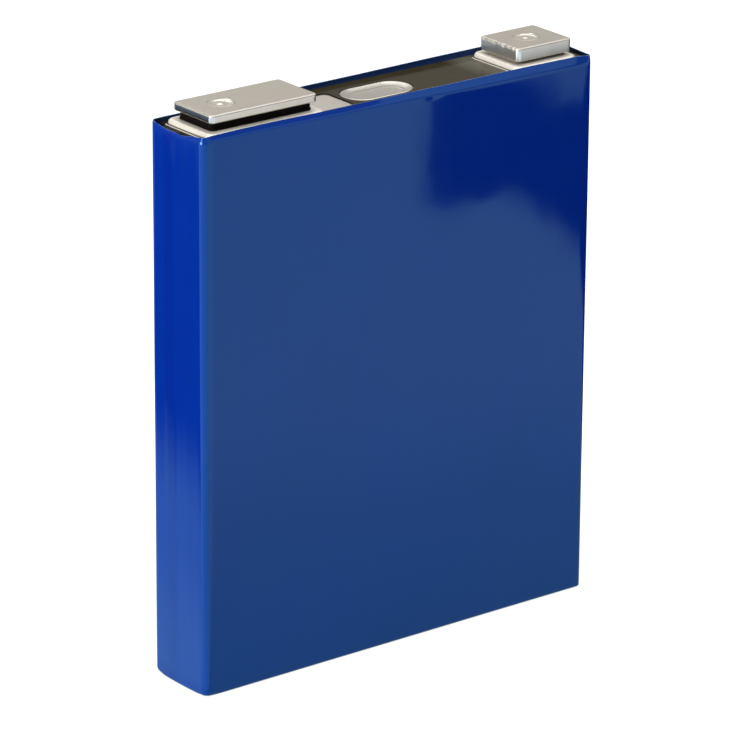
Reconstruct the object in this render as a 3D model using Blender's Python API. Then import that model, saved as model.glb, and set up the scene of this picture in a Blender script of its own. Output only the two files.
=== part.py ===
"""Prismatic lithium cell in a blue film sleeve, open at the top, with two terminal blocks.

Lengths in this file are millimetres and become metres when a mesh is made. +Z is up, the base rests on
z = 0, +X runs from the negative to the positive terminal, and the broad front face looks along -Y.
"""

import math

import bmesh
import bpy
from mathutils import Matrix, Vector
from mathutils.geometry import tessellate_polygon

MM = 0.001

# The wrapped cell
CELL_LENGTH = 148.0
CELL_THICKNESS = 26.0
FILM_TOP = 176.1
FILM_GAUGE = 0.25
FILM_CORNER = 2.2
FILM_BASE_ROUND = 1.0
FILM_SEAM = (6.8, 6.5, 2.3, 0.8)
FILM_SEAM_RISE = 0.2

# Clearance between pieces that touch in the real cell
SLIP = 0.15
CORNER_STEPS = 5
ROUND_STEPS = 28

# Case can and bottom pad
PAD_GAUGE = 0.5
CAN_WALL = 0.6
CAN_FLOOR = 0.8
CAN_BASE_ROUND = 0.9

# Lid
LID_TOP = 174.2
LID_GAUGE = 1.6
BOSS_TOP = 176.2
BOSS_ROUND = 1.2
BOSS_CORNER = 2.8
BOSS_HALF_WIDTH = 11.4
NEGATIVE_BOSS = (-70.0, -27.0)
POSITIVE_BOSS = (45.4, 69.8)
TERMINAL_HOLE_RADIUS = 4.6

# Dark cover film on the lid
COVER_BASE = 174.3
COVER_TOP = 174.7
COVER_GAP_X = 1.1
COVER_GAP_Y = 0.45

# Terminal blocks and their posts
BLOCK_TOP = 181.4
BLOCK_CORNER = 1.3
BLOCK_EDGE = 0.5
NEGATIVE_BLOCK = (-68.3, -29.4, -9.6, 9.6)
NEGATIVE_BLOCK_GAUGE = 2.6
NEGATIVE_BASE = (-67.4, -30.3, -8.5, 8.5)
NEGATIVE_BASE_FLANGE = 0.6
NEGATIVE_BASE_STEP = 0.25
POSITIVE_BLOCK = (47.2, 68.5, -9.3, 9.3)
POSITIVE_BLOCK_GAUGE = 4.3
POSITIVE_BASE = (48.0, 67.7, -7.7, 7.7)
BASE_CORNER = 1.6
BASE_GAP = 0.1
NEGATIVE_POST_X = -57.8
POSITIVE_POST_X = 57.9
POST_RADIUS = 3.0
POST_HEAD_RADIUS = 4.1
POST_FOOT_RADIUS = 5.0

# Safety vent
VENT_X = 0.0
VENT_LENGTH = 24.4
VENT_WIDTH = 13.0
VENT_RIM_TOP = 174.75
VENT_RIM_BASE = 173.65
VENT_FLAP = (19.0, 8.0)
VENT_FLAP_TOP = 174.1
VENT_FLAP_GAUGE = 0.3
VENT_FLAP_GAP = 0.15

# Fill port beside the negative boss
FILL_PLATE = (-26.1, -14.0, -7.0, 7.0)
FILL_PLATE_TOP = 174.35
FILL_POCKET_FLOOR = 173.75
FILL_HOLE = (-20.0, 0.0, 1.7)

# Inside the can
INSULATOR_TOP = 172.45
INSULATOR_GAUGE = 1.2
INSULATOR_SKIRT = 1.9
INSULATOR_HALF_WIDTH = 11.2
COLLECTOR_TOP = 171.1
COLLECTOR_GAUGE = 1.0
TAB_GAUGE = 0.6
NEGATIVE_TABS = (-49.0, -24.0)
POSITIVE_TABS = (22.0, 47.0)
BAG_GAUGE = 0.2
BAG_TOP = 166.0
ROLL_BASE = 3.3
ROLL_TOP = 163.2
ROLL_CENTRE_Y = 5.7
ROLL_HALF_LENGTH = 70.0
ROLL_SHEET = 0.7
ROLL_PITCH = 0.9
ROLL_TURNS = 5
ROLL_CORE = 0.55


# ---------------------------------------------------------------- loops


def rounded_rectangle(box, radius, inset=0.0, steps=CORNER_STEPS):
    """Counter-clockwise loop of the box (x0, x1, y0, y1), moved in by the inset."""
    x0, x1, y0, y1 = box
    reach = max(radius - inset, 0.05)
    right = x1 - inset - reach
    left = x0 + inset + reach
    back = y1 - inset - reach
    front = y0 + inset + reach
    centres = ((right, back), (left, back), (left, front), (right, front))
    loop = []
    for quarter, (cx, cy) in enumerate(centres):
        for step in range(steps + 1):
            angle = math.pi / 2 * (quarter + step / steps)
            loop.append((cx + reach * math.cos(angle), cy + reach * math.sin(angle)))
    return loop


def centred(length, width, x=0.0, y=0.0):
    return (x - length / 2, x + length / 2, y - width / 2, y + width / 2)


def obround(length, width, inset=0.0, steps=9):
    return rounded_rectangle(centred(length, width, VENT_X), width / 2 - 0.01, inset, steps)


def circle(x, y, radius, steps=ROUND_STEPS):
    angles = (2 * math.pi * step / steps for step in range(steps))
    return [(x + radius * math.cos(a), y + radius * math.sin(a)) for a in angles]


def filleted(corners, steps=4):
    """Loop through (x, y, radius) corners, each one rounded whether it points out or in."""
    loop = []
    for index, (x, y, radius) in enumerate(corners):
        here = Vector((x, y))
        before = (Vector(corners[index - 1][:2]) - here).normalized()
        after = (Vector(corners[(index + 1) % len(corners)][:2]) - here).normalized()
        half = before.angle(after) / 2
        centre = here + (before + after).normalized() * (radius / math.sin(half))
        start = here + before * (radius / math.tan(half)) - centre
        end = here + after * (radius / math.tan(half)) - centre
        turn = math.atan2(start.x * end.y - start.y * end.x, start.dot(end))
        for step in range(steps + 1):
            arm = Matrix.Rotation(turn * step / steps, 2) @ start
            loop.append((centre.x + arm.x, centre.y + arm.y))
    return loop


def quarter_round(radius, steps=3):
    """(inset, height) pairs of a rounded edge, from its lower flat to its upright side."""
    angles = [math.pi / 2 * step / steps for step in range(steps + 1)]
    return [(radius * (1 - math.sin(a)), radius * (1 - math.cos(a))) for a in angles]


# ---------------------------------------------------------------- one closed body


class Shell:
    """Rings of points joined by walls and caps into one closed surface."""

    def __init__(self):
        self.points = []
        self.faces = []

    def ring(self, loop, z):
        first = len(self.points)
        self.points += [(x, y, z) for x, y in loop]
        return list(range(first, len(self.points)))

    def wall(self, low, high):
        count = len(low)
        for here in range(count):
            there = (here + 1) % count
            self.faces.append((low[here], low[there], high[there], high[here]))

    def rings(self, loops):
        """Joins (loop, z) pairs in turn and returns the first and the last ring."""
        made = [self.ring(loop, z) for loop, z in loops]
        for low, high in zip(made, made[1:]):
            self.wall(low, high)
        return made[0], made[-1]

    def cap(self, *rings):
        """Fills the flat face between an outer ring and the rings inside it."""
        order = [index for ring in rings for index in ring]
        outlines = [[Vector(self.points[index]) for index in ring] for ring in rings]
        for triangle in tessellate_polygon(outlines):
            self.faces.append(tuple(order[corner] for corner in triangle))

    def fan(self, ring, apex):
        self.points.append(apex)
        tip = len(self.points) - 1
        for here in range(len(ring)):
            self.faces.append((ring[here], ring[(here + 1) % len(ring)], tip))

    def build(self, name, material, origin=(0.0, 0.0, 0.0)):
        mesh = bpy.data.meshes.new(name)
        base = Vector(origin)
        points = [(Vector(point) - base) * MM for point in self.points]
        mesh.from_pydata(points, [], self.faces)
        shape = bmesh.new()
        shape.from_mesh(mesh)
        bmesh.ops.recalc_face_normals(shape, faces=shape.faces)
        if shape.calc_volume(signed=True) < 0:
            bmesh.ops.reverse_faces(shape, faces=shape.faces)
        shape.to_mesh(mesh)
        shape.free()
        mesh.shade_smooth()
        mesh.set_sharp_from_angle(angle=math.radians(32))
        mesh.materials.append(material)
        made = bpy.data.objects.new(name, mesh)
        made.location = base * MM
        bpy.context.scene.collection.objects.link(made)
        return made


def slab(name, material, shape, base, top, edge=0.15, holes=(), edge_steps=2):
    """Plate with rounded edges. shape(inset) gives its loop, and each hole is a loop."""
    body = Shell()
    rounding = quarter_round(edge, edge_steps)
    sides = [(shape(inset), base + rise) for inset, rise in rounding]
    sides += [(shape(inset), top - rise) for inset, rise in reversed(rounding)]
    low, high = body.rings(sides)
    bores = [body.rings([(loop, base), (loop, top)]) for loop in holes]
    body.cap(low, *[lower for lower, upper in bores])
    body.cap(high, *[upper for lower, upper in bores])
    return body.build(name, material)


def revolved(name, material, x, profile):
    """Solid of revolution about the upright line through x, from an (r, z) profile."""
    body = Shell()
    rounds = [(circle(x, 0.0, r), z) for r, z in profile if r > 0]
    low, high = body.rings(rounds)
    if profile[0][0] == 0:
        body.fan(low, (x, 0.0, profile[0][1]))
        body.fan(high, (x, 0.0, profile[-1][1]))
    else:
        body.wall(high, low)
    return body.build(name, material)


def surface(name, colour, roughness, metallic=0.0):
    made = bpy.data.materials.new(name)
    made.use_nodes = True
    shader = made.node_tree.nodes["Principled BSDF"]
    shader.inputs["Base Color"].default_value = (*colour, 1.0)
    shader.inputs["Roughness"].default_value = roughness
    shader.inputs["Metallic"].default_value = metallic
    made.diffuse_color = (*colour, 1.0)
    return made


# ---------------------------------------------------------------- outside of the cell


def film_loop(inset):
    """Outline of the film, with the ridge of its overlap seam on the left narrow side."""
    box = (
        -CELL_LENGTH / 2 + FILM_SEAM_RISE,
        CELL_LENGTH / 2,
        -CELL_THICKNESS / 2,
        CELL_THICKNESS / 2,
    )
    loop = rounded_rectangle(box, FILM_CORNER, inset)
    left = box[0] + inset
    rise = FILM_SEAM_RISE if inset < FILM_GAUGE else 0.0
    lifts = (0.0, rise, rise, 0.0)
    seam = [(left - lift, y) for lift, y in zip(lifts, FILM_SEAM)]
    half = len(loop) // 2
    return loop[:half] + seam + loop[half:]


def make_film_sleeve():
    gauge = FILM_GAUGE
    outside = [
        (0.0, 172.6),
        (0.05, 174.2),
        (0.22, 175.2),
        (0.55, FILM_TOP - 0.1),
        (0.7, FILM_TOP),
    ]
    inside = [
        (0.86, FILM_TOP - 0.06),
        (0.22 + gauge, 175.1),
        (0.05 + gauge, 174.2),
        (gauge, 172.6),
        (gauge, FILM_BASE_ROUND + gauge),
        (gauge + 0.25, gauge + 0.25),
        (gauge + 0.75, gauge),
    ]
    profile = quarter_round(FILM_BASE_ROUND) + outside + inside
    body = Shell()
    low, high = body.rings([(film_loop(inset), z) for inset, z in profile])
    body.cap(low)
    body.cap(high)
    body.build("film_sleeve", surface("film_blue", (0.02, 0.075, 0.33), 0.22))


def can_box():
    shrink = FILM_GAUGE + SLIP
    box = centred(CELL_LENGTH - 2 * shrink, CELL_THICKNESS - 2 * shrink)
    return (box[0] + FILM_SEAM_RISE, *box[1:])


def can_loop(inset):
    return rounded_rectangle(can_box(), FILM_CORNER - FILM_GAUGE - SLIP, inset)


def can_floor():
    return FILM_GAUGE + PAD_GAUGE + 2 * SLIP


def make_bottom_pad():
    base = FILM_GAUGE + SLIP
    slab(
        "bottom_pad",
        surface("pad_green", (0.16, 0.24, 0.17), 0.55),
        lambda inset: can_loop(inset + 0.9),
        base,
        base + PAD_GAUGE,
    )


def make_case_can():
    floor = can_floor()
    inner = [
        (CAN_WALL - 0.1, LID_TOP),
        (CAN_WALL, LID_TOP - 0.1),
        (CAN_WALL, floor + CAN_FLOOR + 0.6),
        (CAN_WALL + 0.2, floor + CAN_FLOOR + 0.2),
        (CAN_WALL + 0.6, floor + CAN_FLOOR),
    ]
    outer = [(inset, floor + rise) for inset, rise in quarter_round(CAN_BASE_ROUND)]
    outer += [(0.0, LID_TOP - 0.15), (0.15, LID_TOP)]
    body = Shell()
    low, high = body.rings([(can_loop(inset), z) for inset, z in outer + inner])
    body.cap(low)
    body.cap(high)
    body.build("case_can", surface("can_aluminium", (0.62, 0.62, 0.63), 0.38, 1.0))


# ---------------------------------------------------------------- lid


def lid_loop(inset):
    return can_loop(CAN_WALL + SLIP + inset)


def boss_loop(span, inset):
    box = (*span, -BOSS_HALF_WIDTH, BOSS_HALF_WIDTH)
    return rounded_rectangle(box, BOSS_CORNER, inset)


def vent_seat(inset=0.0):
    return obround(VENT_LENGTH + 0.3, VENT_WIDTH + 0.3, inset)


def fill_pocket(inset=0.0):
    return rounded_rectangle(FILL_PLATE, 1.6, inset - SLIP)


def make_lid_plate():
    base = LID_TOP - LID_GAUGE
    body = Shell()
    edge, rim = body.rings(
        [(lid_loop(0.0), base), (lid_loop(0.0), LID_TOP - 0.15), (lid_loop(0.15), LID_TOP)]
    )
    under = [edge]
    over = [rim]
    bosses = ((NEGATIVE_BOSS, NEGATIVE_POST_X), (POSITIVE_BOSS, POSITIVE_POST_X))
    for span, post_x in bosses:
        flank = [(-0.2, LID_TOP), (-0.06, LID_TOP + 0.06), (0.0, LID_TOP + 0.2)]
        rounding = quarter_round(BOSS_ROUND, 4)
        flank += [(inset, BOSS_TOP - drop) for inset, drop in reversed(rounding)]
        foot, crown = body.rings([(boss_loop(span, inset), z) for inset, z in flank])
        bore = circle(post_x, 0.0, TERMINAL_HOLE_RADIUS)
        mouth, exit_ring = body.rings([(bore, BOSS_TOP), (bore, base)])
        body.cap(crown, mouth)
        over.append(foot)
        under.append(exit_ring)
    throat = obround(21.0, 9.6)
    mouth, seat = body.rings([(vent_seat(), LID_TOP), (vent_seat(), VENT_RIM_BASE - SLIP)])
    ledge, exit_ring = body.rings([(throat, VENT_RIM_BASE - SLIP), (throat, base)])
    body.cap(seat, ledge)
    over.append(mouth)
    under.append(exit_ring)
    bore = circle(*FILL_HOLE)
    mouth, seat = body.rings([(fill_pocket(), LID_TOP), (fill_pocket(), FILL_POCKET_FLOOR)])
    ledge, exit_ring = body.rings([(bore, FILL_POCKET_FLOOR), (bore, base)])
    body.cap(seat, ledge)
    over.append(mouth)
    under.append(exit_ring)
    body.cap(*over)
    body.cap(*under)
    body.build("lid_plate", surface("lid_aluminium", (0.78, 0.76, 0.72), 0.3, 1.0))


def boss_cutout(span):
    box = (
        span[0] - COVER_GAP_X,
        span[1] + COVER_GAP_X,
        -BOSS_HALF_WIDTH - COVER_GAP_Y,
        BOSS_HALF_WIDTH + COVER_GAP_Y,
    )
    return box


def negative_cutout():
    """Cut-out round the negative boss, with its square bay for the fill port."""
    x0, x1, y0, y1 = boss_cutout(NEGATIVE_BOSS)
    bay_end = FILL_PLATE[1] + 0.35
    bay_front = FILL_PLATE[2] - 0.35
    bay_back = FILL_PLATE[3] + 0.35
    corners = [
        (x0, y0, BOSS_CORNER),
        (x1, y0, 0.9),
        (x1, bay_front, 0.25),
        (bay_end, bay_front, 1.9),
        (bay_end, bay_back, 1.9),
        (x1, bay_back, 0.25),
        (x1, y1, 0.9),
        (x0, y1, BOSS_CORNER),
    ]
    return filleted(corners)


def make_lid_cover():
    box = centred(CELL_LENGTH - 1.6, CELL_THICKNESS - 1.3)
    positive = rounded_rectangle(boss_cutout(POSITIVE_BOSS), BOSS_CORNER + 0.4)
    vent = obround(VENT_LENGTH + 0.6, VENT_WIDTH + 0.6)
    slab(
        "lid_cover",
        surface("cover_taupe", (0.085, 0.068, 0.05), 0.5),
        lambda inset: rounded_rectangle(box, 1.9, inset),
        COVER_BASE,
        COVER_TOP,
        0.08,
        [negative_cutout(), vent, positive],
    )


def make_fill_port():
    slab(
        "fill_port_plate",
        surface("fill_aluminium", (0.8, 0.78, 0.74), 0.32, 1.0),
        lambda inset: rounded_rectangle(FILL_PLATE, 1.5, inset),
        FILL_POCKET_FLOOR + SLIP,
        FILL_PLATE_TOP,
        0.12,
    )
    x, _, hole = FILL_HOLE
    radius = hole - 0.12
    top = FILL_POCKET_FLOOR - 0.05
    profile = [
        (0.0, LID_TOP - LID_GAUGE + 0.1),
        (radius - 0.3, LID_TOP - LID_GAUGE + 0.1),
        (radius, LID_TOP - LID_GAUGE + 0.4),
        (radius, top - 0.2),
        (radius - 0.2, top),
        (0.0, top),
    ]
    revolved("fill_port_plug", surface("plug_rubber", (0.03, 0.03, 0.032), 0.6), x, profile)


# ---------------------------------------------------------------- safety vent


def make_vent_rim():
    length, width = VENT_FLAP
    grow = 2 * VENT_FLAP_GAP
    foot = VENT_RIM_BASE
    outer = [
        (obround(VENT_LENGTH, VENT_WIDTH, 0.1), foot),
        (obround(VENT_LENGTH, VENT_WIDTH), foot + 0.1),
        (obround(VENT_LENGTH, VENT_WIDTH), VENT_RIM_TOP - 0.2),
        (obround(VENT_LENGTH, VENT_WIDTH, 0.06), VENT_RIM_TOP - 0.06),
        (obround(VENT_LENGTH, VENT_WIDTH, 0.2), VENT_RIM_TOP),
    ]
    inner = [
        (obround(length + 3.6, width + 3.2), VENT_RIM_TOP - 0.02),
        (obround(length + 2.4, width + 2.0), VENT_RIM_TOP - 0.16),
        (obround(length + 1.2, width + 0.9), VENT_FLAP_TOP + 0.1),
        (obround(length + grow, width + grow), VENT_FLAP_TOP),
        (obround(length + grow, width + grow), foot),
    ]
    body = Shell()
    low, high = body.rings(outer + inner)
    body.wall(high, low)
    body.build("vent_rim", surface("vent_aluminium", (0.8, 0.78, 0.74), 0.25, 1.0))


def make_vent_flap():
    """Scored panel of the vent. It opens up about its back edge, where its origin lies."""
    length, width = VENT_FLAP
    base = VENT_FLAP_TOP - VENT_FLAP_GAUGE
    body = Shell()
    low, high = body.rings(
        [
            (obround(length, width, 0.08), base),
            (obround(length, width), base + 0.08),
            (obround(length, width), VENT_FLAP_TOP - 0.08),
            (obround(length, width, 0.08), VENT_FLAP_TOP),
            (obround(length, width, 1.1), VENT_FLAP_TOP),
            (obround(length, width, 1.3), VENT_FLAP_TOP - 0.1),
            (obround(length, width, 1.5), VENT_FLAP_TOP),
        ]
    )
    body.cap(low)
    body.cap(high)
    hinge = (VENT_X, width / 2, VENT_FLAP_TOP)
    body.build("vent_flap", surface("flap_aluminium", (0.77, 0.75, 0.71), 0.28, 1.0), hinge)


def make_vent_guard():
    """Slotted grid under the vent, which keeps foil away from it."""
    box = centred(25.0, 2 * INSULATOR_HALF_WIDTH, VENT_X)
    slots = []
    for column in range(-3, 4):
        x = VENT_X + column * 3.2
        slots.append(rounded_rectangle(centred(1.8, 15.0, x), 0.88, 0.0, 3))
    slab(
        "vent_guard",
        surface("guard_plastic", (0.62, 0.62, 0.58), 0.5),
        lambda inset: rounded_rectangle(box, 1.0, inset, 3),
        INSULATOR_TOP - INSULATOR_GAUGE,
        INSULATOR_TOP,
        0.15,
        slots,
        1,
    )


# ---------------------------------------------------------------- terminals


def make_terminal_block(name, material, box, gauge, post_x):
    base = BLOCK_TOP - gauge
    body = Shell()
    rounding = quarter_round(BLOCK_EDGE)
    sides = [(inset, base + rise) for inset, rise in rounding]
    sides += [(inset, BLOCK_TOP - rise) for inset, rise in reversed(rounding)]
    loops = [(rounded_rectangle(box, BLOCK_CORNER, inset), z) for inset, z in sides]
    low, high = body.rings(loops)
    gap = 0.12
    bore = [
        (POST_RADIUS + gap, base),
        (POST_RADIUS + gap, BLOCK_TOP - 1.75),
        (POST_HEAD_RADIUS + gap, BLOCK_TOP - 0.3),
        (POST_HEAD_RADIUS + gap, BLOCK_TOP - 0.08),
        (POST_HEAD_RADIUS + gap + 0.12, BLOCK_TOP),
    ]
    exit_ring, mouth = body.rings([(circle(post_x, 0.0, r), z) for r, z in bore])
    body.cap(low, exit_ring)
    body.cap(high, mouth)
    return body.build(name, material)


def make_terminal_post(name, material, post_x):
    foot_top = COLLECTOR_TOP - COLLECTOR_GAUGE - SLIP
    foot = foot_top - 1.1
    profile = [
        (0.0, foot),
        (POST_FOOT_RADIUS - 0.4, foot),
        (POST_FOOT_RADIUS, foot + 0.3),
        (POST_FOOT_RADIUS, foot_top - 0.15),
        (POST_FOOT_RADIUS - 0.15, foot_top),
        (POST_RADIUS, foot_top),
        (POST_RADIUS, BLOCK_TOP - 1.75),
        (POST_HEAD_RADIUS, BLOCK_TOP - 0.3),
        (POST_HEAD_RADIUS, BLOCK_TOP - 0.1),
        (POST_HEAD_RADIUS - 0.12, BLOCK_TOP - 0.02),
        (POST_HEAD_RADIUS - 0.4, BLOCK_TOP - 0.05),
        (POST_HEAD_RADIUS - 1.1, BLOCK_TOP - 0.35),
        (POST_HEAD_RADIUS - 2.2, BLOCK_TOP - 0.55),
        (0.0, BLOCK_TOP - 0.62),
    ]
    return revolved(name, material, post_x, profile)


def make_negative_insulator(material):
    """Plastic base of the negative block, with a low flange round its foot."""
    base = BOSS_TOP + BASE_GAP
    flange = base + NEGATIVE_BASE_FLANGE
    top = BLOCK_TOP - NEGATIVE_BLOCK_GAUGE - BASE_GAP
    step = NEGATIVE_BASE_STEP
    profile = [
        (0.1, base),
        (0.0, base + 0.1),
        (0.0, flange - 0.1),
        (0.1, flange),
        (step, flange),
        (step, top - 0.1),
        (step + 0.1, top),
    ]
    body = Shell()
    loops = [(rounded_rectangle(NEGATIVE_BASE, BASE_CORNER, inset), z) for inset, z in profile]
    low, high = body.rings(loops)
    bore = circle(NEGATIVE_POST_X, 0.0, POST_RADIUS + SLIP)
    exit_ring, mouth = body.rings([(bore, base), (bore, top)])
    body.cap(low, exit_ring)
    body.cap(high, mouth)
    return body.build("negative_insulator", material)


def make_positive_gasket(material):
    slab(
        "positive_gasket",
        material,
        lambda inset: rounded_rectangle(POSITIVE_BASE, BASE_CORNER, inset),
        BOSS_TOP + BASE_GAP,
        BLOCK_TOP - POSITIVE_BLOCK_GAUGE - BASE_GAP,
        0.12,
        [circle(POSITIVE_POST_X, 0.0, POST_RADIUS + SLIP)],
    )


def make_seal_ring(name, post_x):
    inner = POST_RADIUS + 0.15
    outer = TERMINAL_HOLE_RADIUS - 0.15
    base = LID_TOP - LID_GAUGE + 0.1
    top = BOSS_TOP - 0.1
    profile = [
        (inner, base),
        (outer - 0.3, base),
        (outer, base + 0.3),
        (outer, top - 0.3),
        (outer - 0.3, top),
        (inner, top),
    ]
    return revolved(name, surface(name + "_rubber", (0.035, 0.035, 0.035), 0.65), post_x, profile)


def make_inner_insulator(name, span, holes):
    """Shallow plastic tray, open below, that holds a collector away from the lid."""
    box = (*span, -INSULATOR_HALF_WIDTH, INSULATOR_HALF_WIDTH)
    ceiling = INSULATOR_TOP - INSULATOR_GAUGE
    brim = ceiling - INSULATOR_SKIRT
    profile = [
        (0.2, INSULATOR_TOP),
        (0.0, INSULATOR_TOP - 0.2),
        (0.0, brim),
        (1.0, brim),
        (1.0, ceiling),
    ]
    body = Shell()
    high, low = body.rings([(rounded_rectangle(box, 1.6, inset, 3), z) for inset, z in profile])
    bores = [body.rings([(bore, ceiling), (bore, INSULATOR_TOP)]) for bore in holes]
    body.cap(high, *[upper for lower, upper in bores])
    body.cap(low, *[lower for lower, upper in bores])
    return body.build(name, surface(name + "_plastic", (0.7, 0.7, 0.66), 0.5))


def make_collector(name, material, post_x, tabs):
    """Flat plate from the post, through a neck, to the pad that the foil tabs are welded to."""
    toward = 1 if tabs[0] > post_x else -1
    inner_end = tabs[0] - 1.2 if toward < 0 else tabs[1] + 1.2
    pad_start = tabs[1] + 1.0 if toward < 0 else tabs[0] - 1.0
    outer_end = post_x - toward * 8.0
    corners = [
        (outer_end, -7.6, 1.5),
        (post_x + toward * 5.6, -7.6, 0.8),
        (pad_start, -9.6, 0.8),
        (inner_end, -9.6, 1.5),
        (inner_end, 9.6, 1.5),
        (pad_start, 9.6, 0.8),
        (post_x + toward * 5.6, 7.6, 0.8),
        (outer_end, 7.6, 1.5),
    ]
    if toward < 0:
        corners.reverse()
    outline = filleted(corners, 3)
    bore = circle(post_x, 0.0, POST_RADIUS + 0.15)
    body = Shell()
    low, high = body.rings([(outline, COLLECTOR_TOP - COLLECTOR_GAUGE), (outline, COLLECTOR_TOP)])
    exit_ring, mouth = body.rings([(bore, COLLECTOR_TOP - COLLECTOR_GAUGE), (bore, COLLECTOR_TOP)])
    body.cap(low, exit_ring)
    body.cap(high, mouth)
    return body.build(name, material)


def make_terminals():
    aluminium = surface("terminal_aluminium", (0.66, 0.64, 0.6), 0.34, 1.0)
    head = surface("post_aluminium", (0.72, 0.7, 0.66), 0.25, 1.0)
    copper = surface("collector_copper", (0.72, 0.36, 0.22), 0.35, 1.0)
    plain = surface("collector_aluminium", (0.68, 0.68, 0.68), 0.4, 1.0)
    black = surface("insulator_black", (0.012, 0.012, 0.012), 0.3)
    brown = surface("gasket_brown", (0.14, 0.125, 0.1), 0.4)
    gauge = NEGATIVE_BLOCK_GAUGE
    make_terminal_block("negative_block", aluminium, NEGATIVE_BLOCK, gauge, NEGATIVE_POST_X)
    gauge = POSITIVE_BLOCK_GAUGE
    make_terminal_block("positive_block", aluminium, POSITIVE_BLOCK, gauge, POSITIVE_POST_X)
    make_terminal_post("negative_post", head, NEGATIVE_POST_X)
    make_terminal_post("positive_post", head, POSITIVE_POST_X)
    make_negative_insulator(black)
    make_positive_gasket(brown)
    make_seal_ring("negative_seal", NEGATIVE_POST_X)
    make_seal_ring("positive_seal", POSITIVE_POST_X)
    negative_bore = circle(NEGATIVE_POST_X, 0.0, POST_RADIUS + SLIP)
    positive_bore = circle(POSITIVE_POST_X, 0.0, POST_RADIUS + SLIP)
    make_inner_insulator("negative_tray", (-71.2, -13.5), [negative_bore, circle(*FILL_HOLE)])
    make_inner_insulator("positive_tray", (13.5, 71.2), [positive_bore])
    make_collector("negative_collector", copper, NEGATIVE_POST_X, NEGATIVE_TABS)
    make_collector("positive_collector", plain, POSITIVE_POST_X, POSITIVE_TABS)


# ---------------------------------------------------------------- electrode rolls


def roll_centreline():
    """Flattened spiral: the radius grows round the ends and stays level along the flats."""
    reach = ROLL_HALF_LENGTH - ROLL_CORE - ROLL_PITCH * ROLL_TURNS - ROLL_SHEET / 2
    steps = 8
    line = []
    for half_turn in range(2 * ROLL_TURNS):
        side = 1 if half_turn % 2 == 0 else -1
        start = ROLL_CORE + ROLL_PITCH * half_turn / 2
        for step in range(steps + 1):
            radius = start + ROLL_PITCH / 2 * step / steps
            angle = math.pi * (half_turn + step / steps) - math.pi / 2
            normal = (math.cos(angle), math.sin(angle))
            point = (side * reach + radius * normal[0], radius * normal[1])
            line.append((point, normal))
    return line


def make_roll(name, material, centre_y):
    line = roll_centreline()
    half = ROLL_SHEET / 2
    outer = [(p[0] + n[0] * half, centre_y + p[1] + n[1] * half) for p, n in line]
    inner = [(p[0] - n[0] * half, centre_y + p[1] - n[1] * half) for p, n in line]
    loop = outer + inner[::-1]
    count = len(line)
    body = Shell()
    low, high = body.rings([(loop, ROLL_BASE), (loop, ROLL_TOP)])
    for ring in (low, high):
        for here in range(count - 1):
            across = 2 * count - 1 - here
            body.faces.append((ring[here], ring[here + 1], ring[across - 1], ring[across]))
    return body.build(name, material)


def make_roll_tape(name, material, side):
    face = side * (ROLL_CENTRE_Y + ROLL_CORE + ROLL_PITCH * ROLL_TURNS + ROLL_SHEET / 2)
    near = face + side * 0.1
    far = face + side * 0.26
    box = (46.0, 58.0, min(near, far), max(near, far))
    slab(name, material, lambda inset: rounded_rectangle(box, 0.06, inset, 2), 12.0, 154.0, 0.03)


def make_tab_stack(name, material, span, side):
    """Bundle of foil tabs that rises from a roll, bends inwards and lies under a collector."""
    seat = COLLECTOR_TOP - COLLECTOR_GAUGE - SLIP - TAB_GAUGE / 2
    bend = 2.2
    foot_y = ROLL_CENTRE_Y + 1.2
    path = [((foot_y, ROLL_TOP + 0.15), (1.0, 0.0)), ((foot_y, seat - bend), (1.0, 0.0))]
    for step in range(1, 6):
        angle = math.pi / 2 * step / 5
        normal = (math.cos(angle), math.sin(angle))
        centre = (foot_y - bend, seat - bend)
        path.append(((centre[0] + bend * normal[0], centre[1] + bend * normal[1]), normal))
    path.append(((0.5, seat), (0.0, 1.0)))
    half = TAB_GAUGE / 2
    outer = [(p[0] + n[0] * half, p[1] + n[1] * half) for p, n in path]
    inner = [(p[0] - n[0] * half, p[1] - n[1] * half) for p, n in path]
    loop = outer + inner[::-1]
    count = len(path)
    body = Shell()
    ends = []
    for x in span:
        first = len(body.points)
        body.points += [(x, side * y, z) for y, z in loop]
        ends.append(list(range(first, first + len(loop))))
    body.wall(*ends)
    for ring in ends:
        for here in range(count - 1):
            across = 2 * count - 1 - here
            body.faces.append((ring[here], ring[here + 1], ring[across - 1], ring[across]))
    return body.build(name, material)


def make_rolls():
    coated = surface("roll_separator", (0.72, 0.72, 0.7), 0.55)
    tape = surface("tape_green", (0.05, 0.3, 0.14), 0.4)
    copper = surface("foil_copper", (0.74, 0.4, 0.26), 0.3, 1.0)
    plain = surface("foil_aluminium", (0.75, 0.75, 0.76), 0.3, 1.0)
    for place, side in (("front", -1), ("back", 1)):
        make_roll("roll_" + place, coated, side * ROLL_CENTRE_Y)
        make_roll_tape("roll_tape_" + place, tape, side)
        make_tab_stack("negative_tabs_" + place, copper, NEGATIVE_TABS, side)
        make_tab_stack("positive_tabs_" + place, plain, POSITIVE_TABS, side)


def make_roll_base():
    holes = []
    for column in (-48.0, -16.0, 16.0, 48.0):
        holes += [circle(column, -5.6, 2.0, 16), circle(column, 5.6, 2.0, 16)]
    base = can_floor() + CAN_FLOOR + 2 * SLIP + BAG_GAUGE
    slab(
        "roll_base",
        surface("base_plastic", (0.6, 0.6, 0.57), 0.5),
        lambda inset: rounded_rectangle(centred(143.6, 22.0), 1.0, inset, 3),
        base,
        ROLL_BASE - SLIP,
        0.12,
        holes,
        1,
    )


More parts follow.
